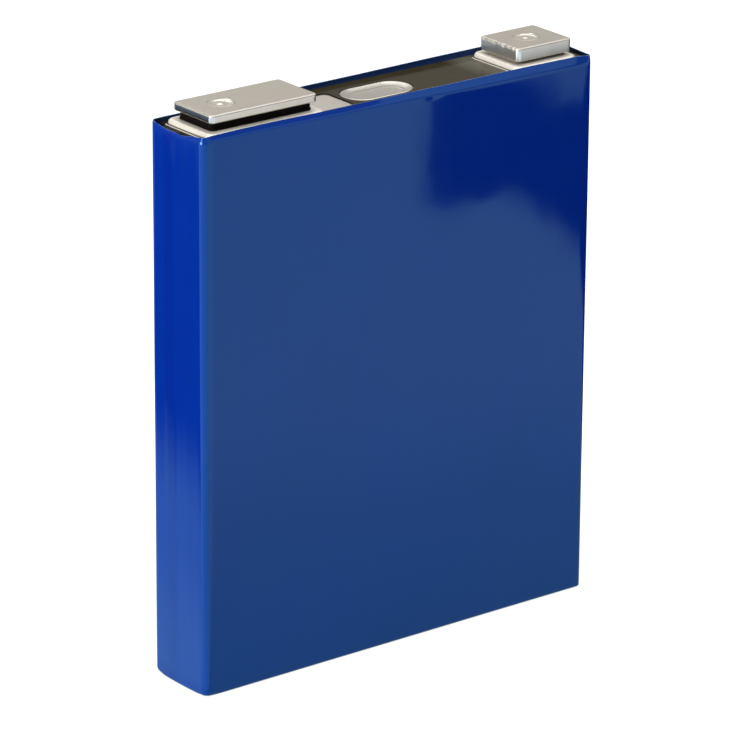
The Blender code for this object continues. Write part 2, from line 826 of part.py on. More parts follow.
def make_insulating_bag():
    floor = can_floor() + CAN_FLOOR + SLIP
    box = centred(145.2, 23.5)
    profile = [
        (0.3, floor),
        (0.09, floor + 0.09),
        (0.0, floor + 0.3),
        (0.0, BAG_TOP),
        (BAG_GAUGE, BAG_TOP),
        (BAG_GAUGE, floor + 0.3),
        (BAG_GAUGE + 0.1, floor + BAG_GAUGE),
    ]
    body = Shell()
    low, high = body.rings([(rounded_rectangle(box, 1.0, inset, 3), z) for inset, z in profile])
    body.cap(low)
    body.cap(high)
    body.build("insulating_bag", surface("bag_film", (0.75, 0.77, 0.78), 0.35))


def main():
    for old in list(bpy.data.objects):
        bpy.data.objects.remove(old, do_unlink=True)
    make_film_sleeve()
    make_bottom_pad()
    make_case_can()
    make_lid_plate()
    make_lid_cover()
    make_fill_port()
    make_vent_rim()
    make_vent_flap()
    make_vent_guard()
    make_terminals()
    make_rolls()
    make_roll_base()
    make_insulating_bag()


main()
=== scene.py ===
"""Looks of a prismatic battery cell in a blue film sleeve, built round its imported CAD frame."""

import math

import bmesh
import bpy
import numpy as np
from mathutils import Matrix, Vector, noise
from mathutils.geometry import tessellate_polygon


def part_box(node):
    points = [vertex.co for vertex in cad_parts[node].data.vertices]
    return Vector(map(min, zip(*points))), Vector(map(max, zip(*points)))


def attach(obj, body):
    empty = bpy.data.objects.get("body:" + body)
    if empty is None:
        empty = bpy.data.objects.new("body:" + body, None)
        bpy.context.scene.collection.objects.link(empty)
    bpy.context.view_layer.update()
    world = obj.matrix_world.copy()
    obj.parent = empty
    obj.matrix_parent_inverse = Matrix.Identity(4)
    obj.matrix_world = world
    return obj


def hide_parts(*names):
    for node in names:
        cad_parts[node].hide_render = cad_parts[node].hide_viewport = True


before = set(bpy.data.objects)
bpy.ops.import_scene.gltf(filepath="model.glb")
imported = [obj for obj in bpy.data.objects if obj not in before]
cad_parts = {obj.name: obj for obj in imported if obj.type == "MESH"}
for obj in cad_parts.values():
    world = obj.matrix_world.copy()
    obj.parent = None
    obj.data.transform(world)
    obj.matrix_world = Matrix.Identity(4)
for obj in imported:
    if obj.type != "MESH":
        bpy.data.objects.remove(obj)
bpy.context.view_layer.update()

MM = 0.001
BODY = "cell"


def box_mm(node):
    low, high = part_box(node)
    return low / MM, high / MM


# ---------------------------------------------------------------- camera

CAMERA_AZIMUTH = -37.992
CAMERA_ELEVATION = 19.908
CAMERA_ROLL = -0.369
CAMERA_DISTANCE = 1.5311
CAMERA_LENS = 246.9
SENSOR = 36.0
AIM_LEFT = 0.00287
AIM_DOWN = 0.00094
AIM_HEIGHT = 0.08807


def make_camera():
    """Camera at the photograph's angle, with its slight roll and off-centre aim."""
    a = math.radians(CAMERA_AZIMUTH)
    e = math.radians(CAMERA_ELEVATION)
    roll = math.radians(CAMERA_ROLL)
    back = Vector((math.sin(a) * math.cos(e), -math.cos(a) * math.cos(e), math.sin(e)))
    right = Vector((math.cos(a), math.sin(a), 0.0))
    up = back.cross(right)
    aim = Vector((0.0, 0.0, AIM_HEIGHT)) - right * AIM_LEFT - up * AIM_DOWN
    place = Vector((0.0, 0.0, AIM_HEIGHT)) + back * CAMERA_DISTANCE
    back = (place - aim).normalized()
    right = Vector((0.0, 0.0, 1.0)).cross(back).normalized()
    up = back.cross(right)
    side = right * math.cos(roll) - up * math.sin(roll)
    top = right * math.sin(roll) + up * math.cos(roll)
    data = bpy.data.cameras.new("camera")
    data.sensor_width = SENSOR
    data.lens = CAMERA_LENS
    camera = bpy.data.objects.new("camera", data)
    camera.matrix_world = Matrix(
        (
            (side.x, top.x, back.x, place.x),
            (side.y, top.y, back.y, place.y),
            (side.z, top.z, back.z, place.z),
            (0.0, 0.0, 0.0, 1.0),
        )
    )
    bpy.context.scene.collection.objects.link(camera)
    bpy.context.scene.camera = camera


# ---------------------------------------------------------------- materials

# Where patches of noise begin and end
SOFT_CONTRAST = (0.35, 0.65)
WIDE_CONTRAST = (0.3, 0.7)


class Paint:
    """A Principled material whose nodes are wired by short calls."""

    def __init__(self, name, colour, roughness, metallic=0.0, ior=1.5, tint=None):
        self.material = bpy.data.materials.new(name)
        self.material.use_nodes = True
        self.tree = self.material.node_tree
        self.shader = self.tree.nodes["Principled BSDF"]
        self.shader.inputs["Base Color"].default_value = (*colour, 1.0)
        self.shader.inputs["Roughness"].default_value = roughness
        self.shader.inputs["Metallic"].default_value = metallic
        self.shader.inputs["IOR"].default_value = ior
        if tint:
            self.shader.inputs["Specular Tint"].default_value = (*tint, 1.0)
        self.place = self.tree.nodes.new("ShaderNodeTexCoord").outputs["Object"]

    def node(self, kind, **values):
        made = self.tree.nodes.new(kind)
        for key, value in values.items():
            setattr(made, key, value)
        return made

    def link(self, source, target):
        self.tree.links.new(source, target)

    def stretched(self, scale):
        made = self.node("ShaderNodeMapping")
        made.inputs["Scale"].default_value = scale
        self.link(self.place, made.inputs["Vector"])
        return made.outputs["Vector"]

    def noise(self, scale, detail=2.0, rough=0.5, stretch=None):
        made = self.node("ShaderNodeTexNoise")
        made.inputs["Scale"].default_value = scale
        made.inputs["Detail"].default_value = detail
        made.inputs["Roughness"].default_value = rough
        place = self.stretched(stretch) if stretch else self.place
        self.link(place, made.inputs["Vector"])
        return made.outputs["Fac"]

    def remap(self, source, low, high, to_low, to_high):
        made = self.node("ShaderNodeMapRange")
        made.inputs["From Min"].default_value = low
        made.inputs["From Max"].default_value = high
        made.inputs["To Min"].default_value = to_low
        made.inputs["To Max"].default_value = to_high
        self.link(source, made.inputs["Value"])
        return made.outputs["Result"]

    def rise(self, source, edge):
        """0 where the source is edge[0], and 1 where it is edge[1]."""
        return self.remap(source, *edge, 0.0, 1.0)

    def share(self, source, part):
        """The source from 0 to 1, brought down to run from 0 to part."""
        return self.remap(source, 0.0, 1.0, 0.0, part)

    def patches(self, scale, detail=3.0, rough=0.5, contrast=SOFT_CONTRAST):
        """Soft patches, as a share from 0 to 1."""
        return self.rise(self.noise(scale, detail, rough), contrast)

    def mix(self, factor, first, second):
        """The first colour at factor 0 and the second at 1. Either may be a socket."""
        made = self.node("ShaderNodeMix", data_type="RGBA")
        for socket, value in ((made.inputs[6], first), (made.inputs[7], second)):
            if isinstance(value, tuple):
                socket.default_value = (*value, 1.0)
            else:
                self.link(value, socket)
        self.link(factor, made.inputs[0])
        return made.outputs[2]

    def maths(self, operation, *values):
        """Math node on sockets and plain numbers. A difference is kept between 0 and 1."""
        made = self.node("ShaderNodeMath", operation=operation, use_clamp=operation == "SUBTRACT")
        for socket, value in zip(made.inputs, values):
            if isinstance(value, float):
                socket.default_value = value
            else:
                self.link(value, socket)
        return made.outputs[0]

    def add(self, first, second):
        return self.maths("ADD", first, second)

    def times(self, first, second):
        return self.maths("MULTIPLY", first, second)

    def axis(self, name):
        made = self.node("ShaderNodeSeparateXYZ")
        self.link(self.place, made.inputs[0])
        return made.outputs[name]

    def colour(self, source):
        self.link(source, self.shader.inputs["Base Color"])

    def rough(self, source):
        self.link(source, self.shader.inputs["Roughness"])

    def bump(self, source, depth):
        made = self.node("ShaderNodeBump")
        made.inputs["Distance"].default_value = depth
        self.link(source, made.inputs["Height"])
        self.link(made.outputs["Normal"], self.shader.inputs["Normal"])


FILM_BASE = (0.0005, 0.011, 0.13)
FILM_DEEP = (0.0004, 0.0101, 0.123)
FILM_STREAK = (0.0008, 0.013, 0.116)
FILM_DOUBLE = (0.0005, 0.0092, 0.116)
FILM_TINT = (0.27, 0.83, 0.92)
FILM_INSIDE = (0.0036, 0.024, 0.1)
# The next colour is both a darker random tone of the inner side and its painted shade at the lid's ends
FILM_INSIDE_DARK_AND_SHADE = (0.0008, 0.004, 0.016)
FILM_INSIDE_GLOSS = 0.35
FILM_INSIDE_CLOUD = 0.12
# Cut lip of the film: its own lighter edge tone, made lighter still as a painted highlight along the top
# edge
FILM_CUT_AND_HIGHLIGHT = (0.06, 0.14, 0.3)
FILM_CUT_AND_HIGHLIGHT_WORN = (0.04, 0.11, 0.26)
FILM_GLOSS = (0.05, 0.075)

# Relief of the film: its full depth in metres, and for each kind of relief the scale of its noise and the
# share that it has of the depth
FILM_RELIEF = 0.0003
WAVE_SCALE = 45.0
WAVE_SHARE = 0.22
PULL_SCALE = 40.0
PULL_SHARE = 0.16
GRAIN_SCALE = 1600.0
GRAIN_SHARE = 0.006

# Upright streaks, short across and long up, as scales of the noise
STREAK_STRETCH = (1.0, 8.0, 0.25)
PULL_STRETCH = (1.0, 6.0, 0.2)
STREAK_SCALE = 60.0
STREAK_EDGE = (0.5, 0.7)
STREAK_SHARE = 0.35
DEEP_SCALE = 22.0
GLOSS_SCALE = 60.0

# Places that a shader reads are in metres. Two layers lie on each other on the left narrow side.
LAP_FACE = (-0.0725, -0.0730)
LAP_FRONT = (0.0014, 0.0024)
LAP_BACK = (0.0070, 0.0062)

# The front left corner is rubbed dull just under the top edge
RUBBED_HEIGHT = (0.1705, 0.1735)
RUBBED_LEFT = (-0.0705, -0.0725)
RUBBED_FRONT = (-0.01, -0.012)
RUBBED_DULL = 0.16

# Painted shade: the film's inner side is darkened at both ends of the lid
SHADE_RIGHT_END = (0.062, 0.070)
SHADE_LEFT_END = (-0.066, -0.072)


def film_paint():
    """Glossy blue film with faint streaks, a deeper overlap and one rubbed corner."""
    paint = Paint("film_blue", FILM_BASE, FILM_GLOSS[0], tint=FILM_TINT)
    body = paint.mix(paint.patches(DEEP_SCALE), FILM_BASE, FILM_DEEP)
    streak = paint.noise(STREAK_SCALE, 2.0, 0.5, STREAK_STRETCH)
    streak = paint.remap(streak, *STREAK_EDGE, 0.0, STREAK_SHARE)
    body = paint.mix(streak, body, FILM_STREAK)
    x, y, z = (paint.axis(name) for name in "XYZ")
    lap = paint.times(paint.rise(y, LAP_FRONT), paint.rise(y, LAP_BACK))
    lap = paint.times(paint.rise(x, LAP_FACE), lap)
    paint.colour(paint.mix(lap, body, FILM_DOUBLE))

    rubbed = paint.times(paint.rise(x, RUBBED_LEFT), paint.rise(y, RUBBED_FRONT))
    rubbed = paint.times(paint.rise(z, RUBBED_HEIGHT), rubbed)
    gloss = paint.remap(paint.noise(GLOSS_SCALE, 3.0), *WIDE_CONTRAST, *FILM_GLOSS)
    paint.rough(paint.add(gloss, paint.share(rubbed, RUBBED_DULL)))

    wave = paint.share(paint.noise(WAVE_SCALE, 1.0), WAVE_SHARE)
    pull = paint.share(paint.noise(PULL_SCALE, 2.0, 0.5, PULL_STRETCH), PULL_SHARE)
    grain = paint.share(paint.noise(GRAIN_SCALE, 2.0), GRAIN_SHARE)
    paint.bump(paint.add(paint.add(wave, pull), grain), FILM_RELIEF)
    return paint.material


def inside_paint():
    """Matt inner side of the film, with painted shade at both ends of the lid."""
    paint = Paint("film_inside", FILM_INSIDE, FILM_INSIDE_GLOSS)
    x = paint.axis("X")
    cloud = paint.remap(paint.noise(PLASTIC_PATCH, 3.0), *SOFT_CONTRAST, 0.0, FILM_INSIDE_CLOUD)
    body = paint.mix(cloud, FILM_INSIDE, FILM_INSIDE_DARK_AND_SHADE)
    # Painted shade: darker towards both ends of the lid
    ends = paint.add(paint.rise(x, SHADE_LEFT_END), paint.rise(x, SHADE_RIGHT_END))
    paint.colour(paint.mix(ends, body, FILM_INSIDE_DARK_AND_SHADE))
    paint.bump(paint.noise(PLASTIC_GRAIN, 2.0), PLASTIC_RELIEF)
    return paint.material


METAL_PATCH = 160.0
METAL_GRAIN = 900.0
METAL_WORN = (0.45, 0.75)
METAL_WORN_SHARE = 0.3
METAL_UNEVEN = (-0.01, 0.02)
METAL_RELIEF = 0.000002
PLASTIC_PATCH = 300.0
PLASTIC_GRAIN = 1800.0
PLASTIC_UNEVEN = (-0.04, 0.05)
PLASTIC_RELIEF = 0.00001


def metal_paint(name, colour, dull, roughness, metallic=1.0):
    """Bare metal, a little duller in soft patches and in its fine grain."""
    paint = Paint(name, colour, roughness, metallic)
    body = paint.mix(paint.patches(METAL_PATCH, 4.0, 0.6, WIDE_CONTRAST), colour, dull)
    grain = paint.noise(METAL_GRAIN, 3.0, 0.6)
    worn = paint.remap(grain, *METAL_WORN, 0.0, METAL_WORN_SHARE)
    paint.colour(paint.mix(worn, body, dull))
    least, most = (roughness + change for change in METAL_UNEVEN)
    paint.rough(paint.remap(grain, *WIDE_CONTRAST, least, most))
    paint.bump(grain, METAL_RELIEF)
    return paint.material


def lid_paint():
    """Satin sheet metal, with painted shade wherever it lies lower than the lid's face, as in its cut-outs.
    """
    paint = Paint("lid_metal", LID_COLOUR, LID_ROUGHNESS[0], LID_METALLIC)
    body = paint.mix(paint.patches(METAL_PATCH, 4.0, 0.6, WIDE_CONTRAST), LID_COLOUR, LID_DULL)
    # Painted shade below the lid's face
    edge = ((RECESS_SHADE_TOP + RECESS_SHADE_SOFT) * MM, (RECESS_SHADE_TOP - RECESS_SHADE_SOFT) * MM)
    recess_shade = paint.rise(paint.axis("Z"), edge)
    paint.colour(paint.mix(recess_shade, body, LID_RECESS_SHADE))
    grain = paint.noise(METAL_GRAIN, 3.0, 0.6)
    paint.rough(paint.remap(grain, *WIDE_CONTRAST, *LID_ROUGHNESS))
    paint.bump(grain, LID_RELIEF)
    return paint.material


def plastic_body(paint, tone, cloud, gloss):
    """Colour, uneven gloss and fine grain of a moulded or rolled plastic."""
    paint.colour(tone)
    least, most = (gloss + change for change in PLASTIC_UNEVEN)
    paint.rough(paint.remap(cloud, 0.0, 1.0, least, most))
    paint.bump(paint.noise(PLASTIC_GRAIN, 2.0), PLASTIC_RELIEF)
    return paint.material


def plastic_paint(name, colour, worn, gloss, ior=1.5):
    paint = Paint(name, colour, gloss, ior=ior)
    cloud = paint.patches(PLASTIC_PATCH)
    return plastic_body(paint, paint.mix(cloud, colour, worn), cloud, gloss)


def cover_paint():
    """Dark film of the lid: paler beside the positive boss, darkest at its left end."""
    paint = Paint("cover_film", COVER_TONE, COVER_GLOSS, ior=COVER_IOR)
    cloud = paint.patches(PLASTIC_PATCH)
    place = paint.axis("X")
    tone = paint.mix(cloud, COVER_TONE, COVER_WORN)
    tone = paint.mix(paint.rise(place, COVER_PALER_EDGE), tone, COVER_PALER)
    tone = paint.mix(paint.rise(place, COVER_DARK_EDGE), tone, COVER_DARK)
    return plastic_body(paint, tone, cloud, COVER_GLOSS)


# ---------------------------------------------------------------- mesh code


class Shell:
    """Rings of points, in millimetres, joined by walls and caps into one closed surface."""

    def __init__(self):
        self.points = []
        self.faces = []
        self.flat = []  # faces shaded flat
        self.painted = []  # (material, faces) where the main material isn't used

    def ring(self, points):
        """Adds a closed loop of points and returns their indices."""
        first = len(self.points)
        self.points += [tuple(point) for point in points]
        return list(range(first, len(self.points)))

    def wall(self, low, high):
        count = len(low)
        for here in range(count):
            there = (here + 1) % count
            self.faces.append((low[here], low[there], high[there], high[here]))

    def stack(self, rings):
        """Walls between loops given from first to last. Returns the first and last ring."""
        made = [self.ring(points) for points in rings]
        for low, high in zip(made, made[1:]):
            self.wall(low, high)
        return made[0], made[-1]

    def cap(self, *rings):
        """Flat face inside the first ring, with the others as holes."""
        order = [index for ring in rings for index in ring]
        outlines = [[Vector(self.points[index]) for index in ring] for ring in rings]
        for triangle in tessellate_polygon(outlines):
            self.flat.append(len(self.faces))
            self.faces.append(tuple(order[corner] for corner in triangle))

    def fan(self, ring, apex):
        """Closes a ring with triangles up to the apex."""
        self.points.append(tuple(apex))
        tip = len(self.points) - 1
        for here in range(len(ring)):
            self.faces.append((ring[here], ring[(here + 1) % len(ring)], tip))

    def build(self, name, material, node, body=BODY, sharp=40.0):
        mesh = bpy.data.meshes.new(name)
        mesh.from_pydata([Vector(point) * MM for point in self.points], [], self.faces)
        shape = bmesh.new()
        shape.from_mesh(mesh)
        bmesh.ops.recalc_face_normals(shape, faces=shape.faces)
        if shape.calc_volume(signed=True) < 0:
            bmesh.ops.reverse_faces(shape, faces=shape.faces)
        shape.to_mesh(mesh)
        shape.free()
        mesh.shade_smooth()
        mesh.set_sharp_from_angle(angle=math.radians(sharp))
        for index in self.flat:
            mesh.polygons[index].use_smooth = False
        mesh.materials.append(material)
        for index, (paint, faces) in enumerate(self.painted):
            mesh.materials.append(paint)
            for face in faces:
                mesh.polygons[face].material_index = index + 1
        made = bpy.data.objects.new(name, mesh)
        bpy.context.scene.collection.objects.link(made)
        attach(made, body)
        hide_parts(node)
        return made


class Station:
    """A point on an outline, with its outward normal."""

    def __init__(self, x, y, nx, ny, side, along):
        self.x = x
        self.y = y
        self.nx = nx
        self.ny = ny
        self.side = side
        self.along = along

    def at(self, inset, z):
        return (self.x - self.nx * inset, self.y - self.ny * inset, z)


SIDES = ("front", "right", "back", "left")


def outline(box, radii, spacing, corner_steps=8, extra=None):
    """Stations counter-clockwise round the box (x0, x1, y0, y1), from the front left.

    side is the face a station lies on, or the two faces a corner joins, and along runs 0 to 1. The radii
    are those of the front right, back right, back left and front left corners.
    """
    if not isinstance(radii, tuple):
        radii = (radii,) * 4
    x0, x1, y0, y1 = box
    ends = [(x1, y0, -1, 1), (x1, y1, -1, -1), (x0, y1, 1, -1), (x0, y0, 1, 1)]
    corners = [(x + sx * r, y + sy * r) for (x, y, sx, sy), r in zip(ends, radii)]
    stations = []
    for index, side in enumerate(SIDES):
        turn = math.pi / 2 * (index - 1)
        nx, ny = math.cos(turn), math.sin(turn)
        radius = radii[index - 1]
        cx, cy = corners[index - 1]
        start = (cx + nx * radius, cy + ny * radius)
        radius = radii[index]
        cx, cy = corners[index]
        end = (cx + nx * radius, cy + ny * radius)
        length = math.dist(start, end)
        steps = max(1, round(length / spacing[index % 2]))
        shares = [step / steps for step in range(1, steps)]
        if extra and side in extra:
            shares = sorted(set(shares) | set(extra[side]))
        for share in shares:
            x = start[0] + (end[0] - start[0]) * share
            y = start[1] + (end[1] - start[1]) * share
            stations.append(Station(x, y, nx, ny, side, share))
        pair = side + "_" + SIDES[(index + 1) % 4]
        for step in range(corner_steps + 1):
            angle = turn + math.pi / 2 * step / corner_steps
            ax, ay = math.cos(angle), math.sin(angle)
            place = step / corner_steps
            stations.append(Station(cx + ax * radius, cy + ay * radius, ax, ay, pair, place))
    return stations


def rounding(radius, steps=4):
    """(inset, drop) pairs from the upright side up to the flat top."""
    angles = [math.pi / 2 * step / steps for step in range(steps + 1)]
    return [(radius * (1 - math.cos(a)), radius * (1 - math.sin(a))) for a in angles]


def circle(x, y, radius, z, steps=64):
    angles = [2 * math.pi * step / steps for step in range(steps)]
    return [(x + radius * math.cos(a), y + radius * math.sin(a), z) for a in angles]


# ---------------------------------------------------------------- film sleeve

FILM_GAUGE = 0.22
FILM_CORNERS = (1.7, 1.7, 1.4, 2.0)
FILM_SPACING = (2.2, 1.2)

# Overlap on the left narrow side: the film's box starts SEAM_RISE inside the CAD box
SEAM_RISE = 0.1
SEAM_SHOWN = 0.04
SEAM_BACK = 6.6
SEAM_FRONT = 2.4
SEAM_BACK_EASE = 0.8
SEAM_FRONT_EASE = 1.6
SEAM_SHARES = (0.19, 0.195, 0.2, 0.205, 0.45, 0.5, 0.55)

# Slanting fold under the front edge, with closer stations along it
WRINKLE_START = -2.0
WRINKLE_END = 17.0
WRINKLE_LOW = 172.2
WRINKLE_HIGH = 174.4
WRINKLE_WIDTH = 0.4
WRINKLE_DEPTH = 0.05
WRINKLE_SHARES = tuple(step / 140 for step in range(70, 92))

# Unevenness of the faces, and the soft turn into the front left corner
SWELL_INSET = 0.05
SWELL_DEPTH = 0.05
SWELL_SCALE = (38.0, 9.0, 46.0)
ROLL_START = -10.2
ROLL_REACH = 0.8
ROLL_DEPTH = 0.03

# Foot: rounded, wider where it is folded at the left corners, and bulging on the left side
FOLD_BULGE = 0.28
FOLD_HEIGHT = 14.0
BASE_ROUND = 0.75
FOLD_BACK = 1.3
FOLD_FRONT = 0.8
FOLD_REACH = 5.0
FOOT_STEPS = 5
UNDER_REACH = 1.2

# Heights of the rings up the side
LOW_LEVELS = (3.0, 6.0)
SIDE_LEVELS = (12.0, 168.0, 27)
TOP_LEVELS = (170.5, 171.6, 172.2, 172.6)

# The crease below the top edge, the edge that leans in over it, and the cut lip
CREASE_EASE = 0.45
CREASE_SHARE = 0.35
CREASE_STEPS = 5
EDGE_STEPS = 4
LIP = 0.06
INNER_FINE = 12
INNER_STRIDE = 4

# The top edge: (x or y along the side, crease, lean, edge), in millimetres. Crease and edge are heights
# over the nominal top, and lean is how far the edge folds in.
FRONT_EDGE = (
    (-72.8, -1.50, 0.85, 0.16),
    (-71.4, -1.30, 0.90, 0.26),
    (-69.0, -1.05, 1.00, 0.30),
    (-60.0, -1.00, 1.10, 0.43),
    (-45.0, -1.10, 1.15, 0.43),
    (-25.0, -1.30, 1.15, 0.18),
    (-7.0, -1.50, 1.15, 0.22),
    (6.5, -1.70, 1.15, 0.25),
    (18.0, -2.05, 1.10, 0.10),
    (26.0, -2.20, 1.10, 0.13),
    (45.0, -2.15, 1.05, 0.20),
    (57.0, -2.30, 1.00, 0.11),
    (69.0, -2.60, 0.75, 0.04),
    (71.5, -2.50, 0.30, -0.20),
)
RIGHT_EDGE = (
    (-10.5, -1.80, 0.25, -0.28),
    (-8.0, -1.60, 0.4, -0.12),
    (-5.0, -1.40, 0.4, 0.02),
    (-1.0, -1.20, 0.3, 0.10),
    (8.0, -1.00, 0.2, 0.05),
)
BACK_EDGE = (
    (70.0, -0.60, 0.25, 0.55),
    (30.0, -0.80, 0.35, 0.50),
    (0.0, -1.00, 0.30, 0.22),
    (-40.0, -1.00, 0.35, 0.12),
    (-70.0, -0.90, 0.25, 0.10),
)
LEFT_EDGE = (
    (12.0, -0.9, 0.10, -0.10),
    (11.0, -1.0, 0.40, -0.65),
    (9.6, -1.2, 0.40, -0.70),
    (7.6, -1.6, 0.35, -1.10),
    (4.4, -1.9, 0.40, -1.32),
    (0.4, -2.1, 0.45, -1.40),
    (-1.2, -2.2, 0.45, -1.48),
    (-4.6, -2.0, 0.45, -0.98),
    (-7.1, -1.7, 0.50, -0.50),
    (-9.6, -1.6, 0.65, -0.18),
    (-11.4, -1.5, 0.80, 0.05),
)


def run_of(station, box):
    """Distance of a station round the film, counter-clockwise from the front left corner."""
    x0, x1, y0, y1 = box
    long, short = x1 - x0, y1 - y0
    x = min(max(station.x, x0), x1)
    y = min(max(station.y, y0), y1)
    starts = {"front": 0.0, "right": long, "back": long + short, "left": 2 * long + short}
    first = station.side.split("_")[0]
    if "_" in station.side and station.along > 0.5:
        first = station.side.split("_")[1]
    offsets = {"front": x - x0, "right": y - y0, "back": x1 - x, "left": y1 - y}
    return starts[first] + offsets[first]


def edge_table(box):
    """Rows of (run, crease, lean, edge) right round the film, and the whole run."""
    x0, x1, y0, y1 = box
    long, short = x1 - x0, y1 - y0
    rows = [(x - x0, *rest) for x, *rest in FRONT_EDGE]
    rows += [(long + y - y0, *rest) for y, *rest in RIGHT_EDGE]
    rows += [(long + short + x1 - x, *rest) for x, *rest in BACK_EDGE]
    rows += [(2 * long + short + y1 - y, *rest) for y, *rest in LEFT_EDGE]
    return np.array(rows), 2 * (long + short)


def seam_lift(station):
    """Height of the overlap of the film, which lies on the left narrow side."""
    if station.side != "left":
        return 0.0
    up = min(max((SEAM_BACK - station.y) / SEAM_BACK_EASE, 0.0), 1.0)
    down = min(max((station.y - SEAM_FRONT) / SEAM_FRONT_EASE + 1.0, 0.0), 1.0)
    return SEAM_SHOWN * up * up * (3 - 2 * up) * down * down * (3 - 2 * down)


def wrinkle(station, z):
    """Depth of the short slanting fold under the front edge."""
    if station.side != "front":
        return 0.0
    along = (station.x - WRINKLE_START) / (WRINKLE_END - WRINKLE_START)
    if not 0.0 < along < 1.0:
        return 0.0
    ridge = WRINKLE_LOW + (WRINKLE_HIGH - WRINKLE_LOW) * along
    across = (z - ridge) / WRINKLE_WIDTH
    return WRINKLE_DEPTH * math.sin(math.pi * along) * math.exp(-across * across)


def film_swell(station, z):
    """How far the film lies inside the nominal outline: unevenness, the soft corner, the bottom fold."""
    place = (station.x, station.y, z)
    place = Vector([value / scale for value, scale in zip(place, SWELL_SCALE)])
    inset = SWELL_INSET + SWELL_DEPTH * noise.noise(place)
    if station.side == "left":
        near = (ROLL_START - station.y) / ROLL_REACH
        inset += ROLL_DEPTH * max(near, 0.0) ** 2
        low = max(1.0 - z / FOLD_HEIGHT, 0.0)
        inset -= FOLD_BULGE * math.sin(math.pi * station.along) * low * low
    elif station.side == "left_front":
        inset += ROLL_DEPTH * (1.0 - station.along)
    return inset


def foot_round(station, box):
    """Radius of the film's foot."""
    radius = BASE_ROUND
    for y, more in ((box[3], FOLD_BACK), (box[2], FOLD_FRONT)):
        away = math.dist((station.x, station.y), (box[0], y))
        radius += more * max(1.0 - away / FOLD_REACH, 0.0)
    return radius


def outer_side(foot, top, crease, lean, edge):
    """Outer side of the film as (inset, height), from under the cell to the top edge."""
    profile = [(foot + UNDER_REACH, 0.0), (foot, 0.0)]
    for step in range(1, FOOT_STEPS):
        a = math.pi / 2 * step / FOOT_STEPS
        profile.append((foot * (1 - math.sin(a)), foot * (1 - math.cos(a))))
    profile.append((0.0, foot))
    profile += [(0.0, z) for z in (*LOW_LEVELS, *np.linspace(*SIDE_LEVELS), *TOP_LEVELS)]
    bend = Vector((0.0, top + crease))
    tip = Vector((lean, top + edge))
    reach = (tip - bend).length
    ease = min(CREASE_EASE, reach * CREASE_SHARE)
    start = bend - Vector((0.0, ease))
    end = bend + (tip - bend) * (ease / reach)
    for step in range(CREASE_STEPS + 1):
        t = step / CREASE_STEPS
        profile.append(start * (1 - t) ** 2 + bend * 2 * t * (1 - t) + end * t**2)
    profile += [end.lerp(tip, step / EDGE_STEPS) for step in range(1, EDGE_STEPS + 1)]
    return [Vector(point) for point in profile]


def inner_side(outer):
    """Inner side of the film, one gauge further in, from the cut lip down to the foot."""
    inner = []
    for index in range(len(outer) - 1, 1, -1):
        after = outer[min(index + 1, len(outer) - 1)]
        along = (after - outer[index - 1]).normalized()
        inner.append(outer[index] + Vector((along.y, -along.x)) * FILM_GAUGE)
    lip = outer[-1] + (outer[-1] - outer[-2]).normalized() * LIP
    lip += (inner[0] - outer[-1]) * 0.5
    kept = [p for index, p in enumerate(inner) if index < INNER_FINE or index % INNER_STRIDE == 0]
    return [lip, *kept, Vector((outer[0].x, FILM_GAUGE))]


def make_film():
    low, high = box_mm("film_sleeve")
    box = (low.x + SEAM_RISE, high.x, low.y, high.y)
    table, total = edge_table(box)
    closer = {"left": SEAM_SHARES, "front": WRINKLE_SHARES}
    stations = outline(box, FILM_CORNERS, FILM_SPACING, 8, closer)
    runs = np.array([run_of(station, box) for station in stations])
    edges = [np.interp(runs, table[:, 0], table[:, 1 + k], period=total) for k in range(3)]
    columns = []
    for station, crease, lean, edge in zip(stations, *edges):
        outer = outer_side(foot_round(station, box), high.z, crease, lean, edge)
        column = []
        for index, point in enumerate([*outer, *inner_side(outer)]):
            inset = point.x + film_swell(station, point.y) + wrinkle(station, point.y)
            if index < len(outer):
                inset -= seam_lift(station)
            column.append(station.at(inset, point.y))
        columns.append(column)
    body = Shell()
    first, last = body.stack([list(ring) for ring in zip(*columns)])
    body.cap(first)
    body.cap(last)
    count = len(stations)
    lip = (len(outer) - 1) * count
    inside = lip + 2 * count
    # The cut lip is partly its own tone and partly a painted highlight along the top edge
    cut = plastic_paint("film_cut_highlight", FILM_CUT_AND_HIGHLIGHT, FILM_CUT_AND_HIGHLIGHT_WORN, 0.3)
    body.painted.append((cut, range(lip, inside)))
    body.painted.append((inside_paint(), range(inside, len(body.faces))))
    return body.build("film", film_paint(), "film_sleeve", sharp=55.0)


# ---------------------------------------------------------------- terminal blocks and posts

BLOCK_CORNER = 1.3
BLOCK_SPACING = (0.7, 0.6)
BLOCK_EDGE = 0.5
BEVEL_STEPS = 6
CHIP_LENGTH = 1.1
CHIP_MEAN = 0.35
CHIP_LEAST = 0.2

# Post and its bore. Depths are below the top of the block.
STEM_RADIUS = 3.0
STEM_GAP = 0.12
HEAD_RADIUS = 4.1
HEAD_GAP = 0.05
HEAD_DEPTH = 1.75
HEAD_STRAIGHT = 0.4
HEAD_CLEAR = 0.02
BORE_BREAK = (0.04, 0.06)
POST_FOOT = ((4.6, 0.0), (5.0, 0.3), (5.0, 0.95), (4.85, 1.1))
POST_EDGE = ((0.0, 0.08), (0.03, 0.02), (0.1, 0.0), (0.28, 0.01))

# Dished head with a low dome in its middle
DISH_OUTER = 3.75
DISH_INNER = 2.5
DISH_START = 0.03
DISH_DEPTH = 0.34
DOME_RADIUS = 1.6
DOME_HEIGHT = 0.33
DOME_TIP = 0.03
DISH_STEPS = 8


def post_centre(post):
    low, high = box_mm(post)
    return (low.x + high.x) / 2


